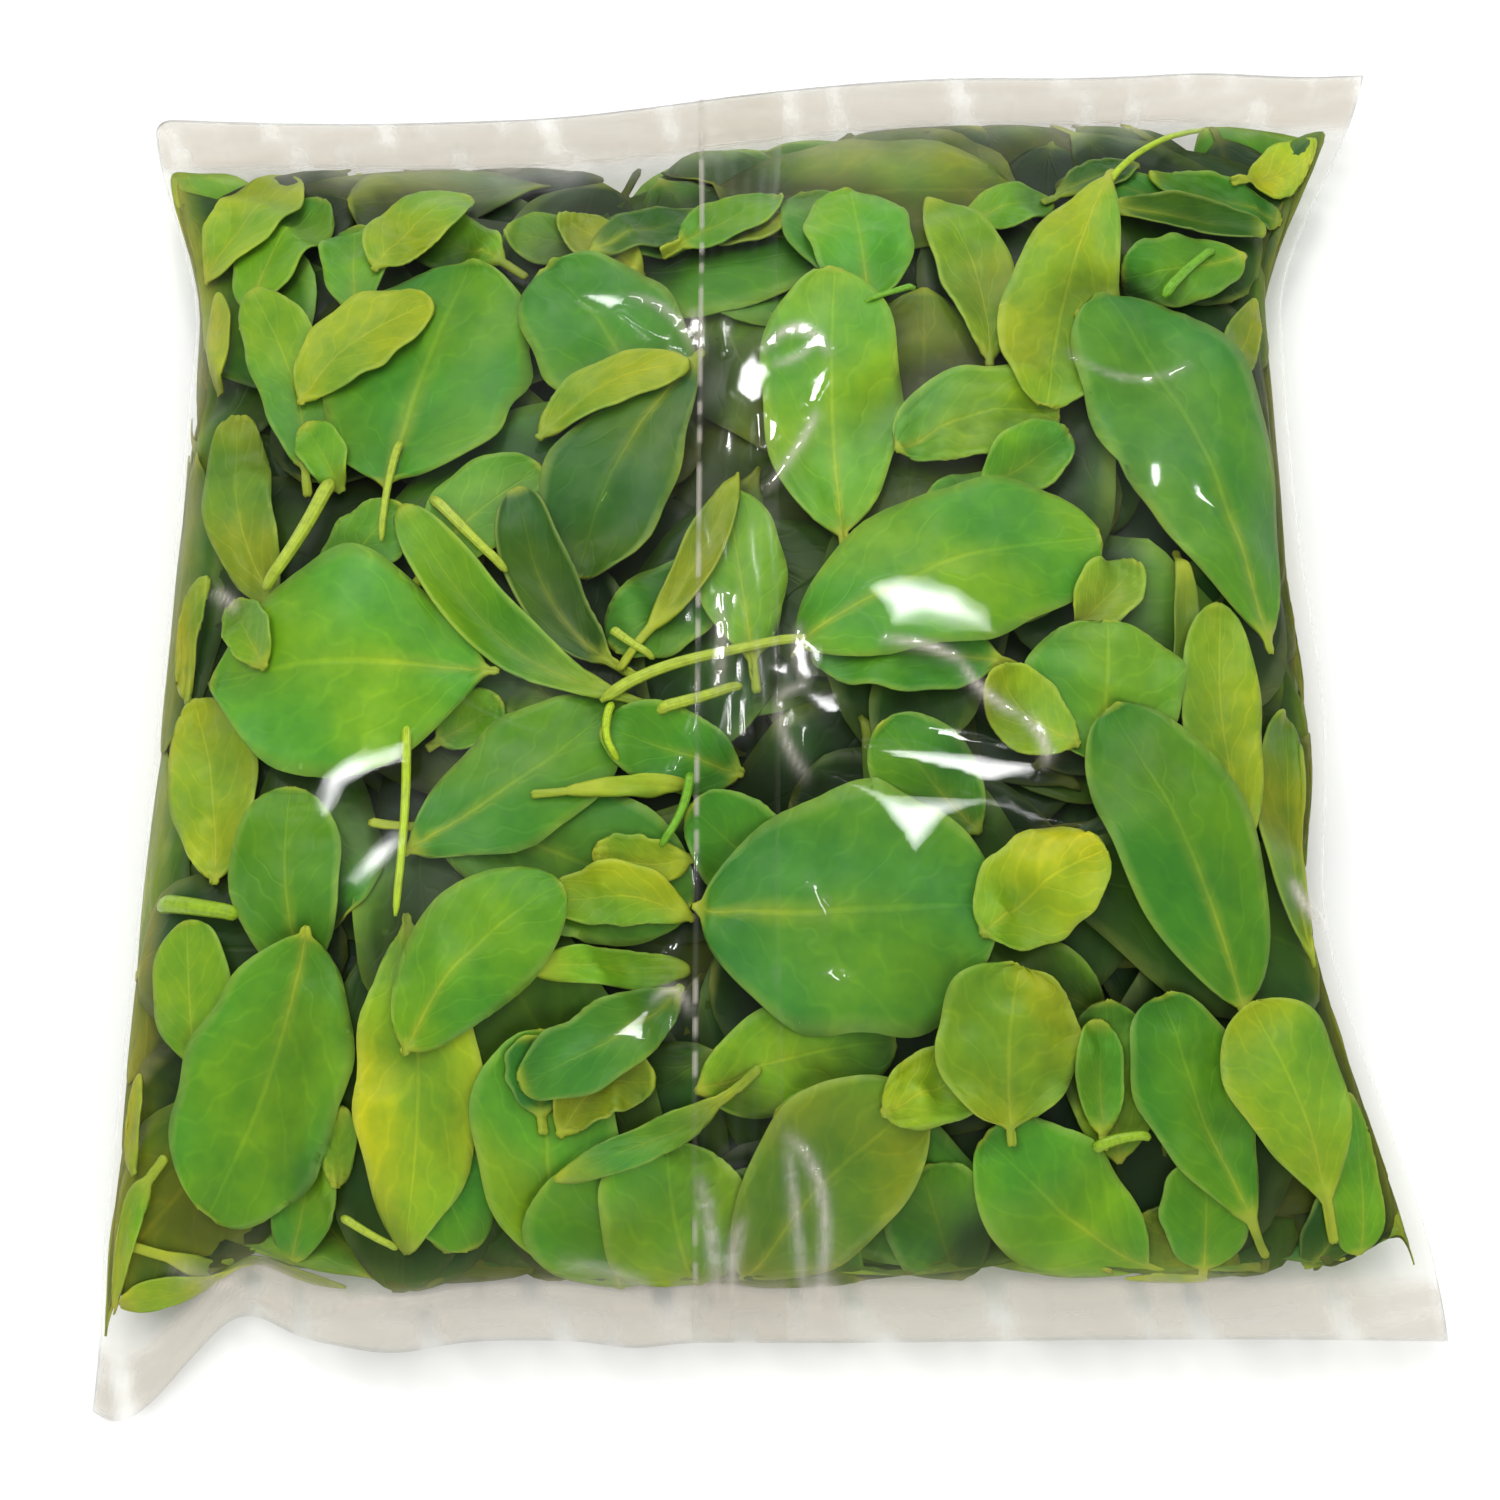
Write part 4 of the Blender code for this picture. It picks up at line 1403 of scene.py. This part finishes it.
class SPINACH_OT_core(bpy.types.Operator):
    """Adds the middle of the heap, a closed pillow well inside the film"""

    bl_idname = "spinach.core"
    bl_label = "Core"

    def execute(self, context):
        u, v = np.meshgrid(*(np.linspace(-reach, reach, CORE_NET) for reach in (CORE_ACROSS, CORE_ALONG)))
        x, y = plan(u, v)
        high, low = bag_height(u, v, True), bag_height(u, v, False)
        edge = np.maximum(np.abs(u) / CORE_ACROSS, np.abs(v) / CORE_ALONG)
        swell = np.sqrt(np.clip(1.0 - edge**6, 0.0, 1.0))
        middle = (high + low) / 2.0
        thinnest = 0.02 * (high - low)
        half = np.maximum((high - low) / 2.0 - sizes().core_depth, thinnest) * swell
        both = np.concatenate([np.stack([x, y, middle + half], -1).reshape(-1, 3),
                               np.stack([x, y, middle - half - 0.0002], -1).reshape(-1, 3)])
        quads = quads_of(CORE_NET, CORE_NET)
        rim = rim_quads(CORE_NET, CORE_NET, u.size)
        faces = np.concatenate([quads, quads[:, ::-1] + u.size, rim])
        # A dark closed pillow that stands for the heap's shaded depths: painted shade
        mesh_object("heap_core", both, faces, painted_shade_core_material())
        return {"FINISHED"}


class SPINACH_OT_stage(bpy.types.Operator):
    """Adds the floor, the studio lights and the camera"""

    bl_idname = "spinach.stage"
    bl_label = "Stage"

    def execute(self, context):
        scene = context.scene
        mesh = bpy.data.meshes.new("floor")
        places = ((-1, -1), (1, -1), (1, 1), (-1, 1))
        mesh.from_pydata([(x * FLOOR_HALF, y * FLOOR_HALF, 0) for x, y in places], [], [(0, 1, 2, 3)])
        mesh.materials.append(floor_material())
        floor = bpy.data.objects.new("floor", mesh)
        floor.location.z = -FLOOR_DROP
        scene.collection.objects.link(floor)
        for name, row in LIGHTS.items():
            self.add_box_light(scene, name, *row)
        world = bpy.data.worlds.new("pale_room")
        world.use_nodes = True
        rays = node(world.node_tree, "LightPath")
        strength = node(world.node_tree, "MapRange", {
            "Value": rays.outputs["Is Glossy Ray"], "To Min": ROOM_LIGHT, "To Max": ROOM_IN_GLOSS,
        })
        background = world.node_tree.nodes["Background"]
        background.inputs[0].default_value = (0.97, 0.98, 1.0, 1.0)
        world.node_tree.links.new(strength.outputs[0], background.inputs[1])
        scene.world = world
        scene.view_settings.view_transform = "Standard"
        self.add_camera(scene)
        return {"FINISHED"}

    def add_box_light(self, scene, name, direction, distance, side_x, side_y, power, glossy):
        """A soft box that faces the bag from a direction, and shows in its gloss or doesn't."""
        lamp = bpy.data.lights.new(name, "AREA")
        lamp.shape = "RECTANGLE"
        lamp.size, lamp.size_y, lamp.energy = side_x, side_y, power
        holder = bpy.data.objects.new(name, lamp)
        holder.visible_glossy = glossy
        towards = Vector(direction).normalized()
        holder.location = Vector(AIM) + towards * distance
        holder.rotation_euler = towards.to_track_quat("Z", "Y").to_euler()
        scene.collection.objects.link(holder)

    def add_camera(self, scene):
        """The camera of the photograph: in front of the bag and high above it."""
        data = bpy.data.cameras.new("camera")
        data.sensor_width = SENSOR_MM
        data.lens = SENSOR_MM * FOCAL_PIXELS / PHOTO_SIDE
        data.shift_x = (PHOTO_SIDE / 2 - AIM_PIXEL[0]) / PHOTO_SIDE
        data.shift_y = (AIM_PIXEL[1] - PHOTO_SIDE / 2) / PHOTO_SIDE
        camera = bpy.data.objects.new("camera", data)
        camera.location = camera_axes()[0]
        camera.rotation_euler = (math.pi / 2 - ELEVATION, 0.0, 0.0)
        scene.collection.objects.link(camera)
        scene.camera = camera


class SPINACH_PT_panel(bpy.types.Panel):
    """Lists the pieces of the bag of spinach"""

    bl_label = "Bag of spinach"
    bl_space_type = "VIEW_3D"
    bl_region_type = "UI"
    bl_category = "Spinach"

    def draw(self, context):
        for operator in OPERATORS:
            self.layout.operator(operator.bl_idname)
        for group in (context.scene.spinach_sizes, context.scene.spinach_colours):
            for name in group.__annotations__:
                self.layout.prop(group, name)


OPERATORS = (
    SPINACH_OT_core,
    SPINACH_OT_leaves,
    SPINACH_OT_stalks,
    SPINACH_OT_film,
    SPINACH_OT_fin,
    SPINACH_OT_stage,
)
CLASSES = (SpinachSizes, SpinachColours, *OPERATORS, SPINACH_PT_panel)


def register():
    for each in CLASSES:
        bpy.utils.register_class(each)
    bpy.types.Scene.spinach_sizes = bpy.props.PointerProperty(type=SpinachSizes)
    bpy.types.Scene.spinach_colours = bpy.props.PointerProperty(type=SpinachColours)


def unregister():
    del bpy.types.Scene.spinach_colours
    del bpy.types.Scene.spinach_sizes
    for each in reversed(CLASSES):
        bpy.utils.unregister_class(each)


def main():
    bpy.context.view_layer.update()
    register()
    for operator in OPERATORS:
        group, name = operator.bl_idname.split(".")
        getattr(getattr(bpy.ops, group), name)()


if __name__ == "__main__":
    main()
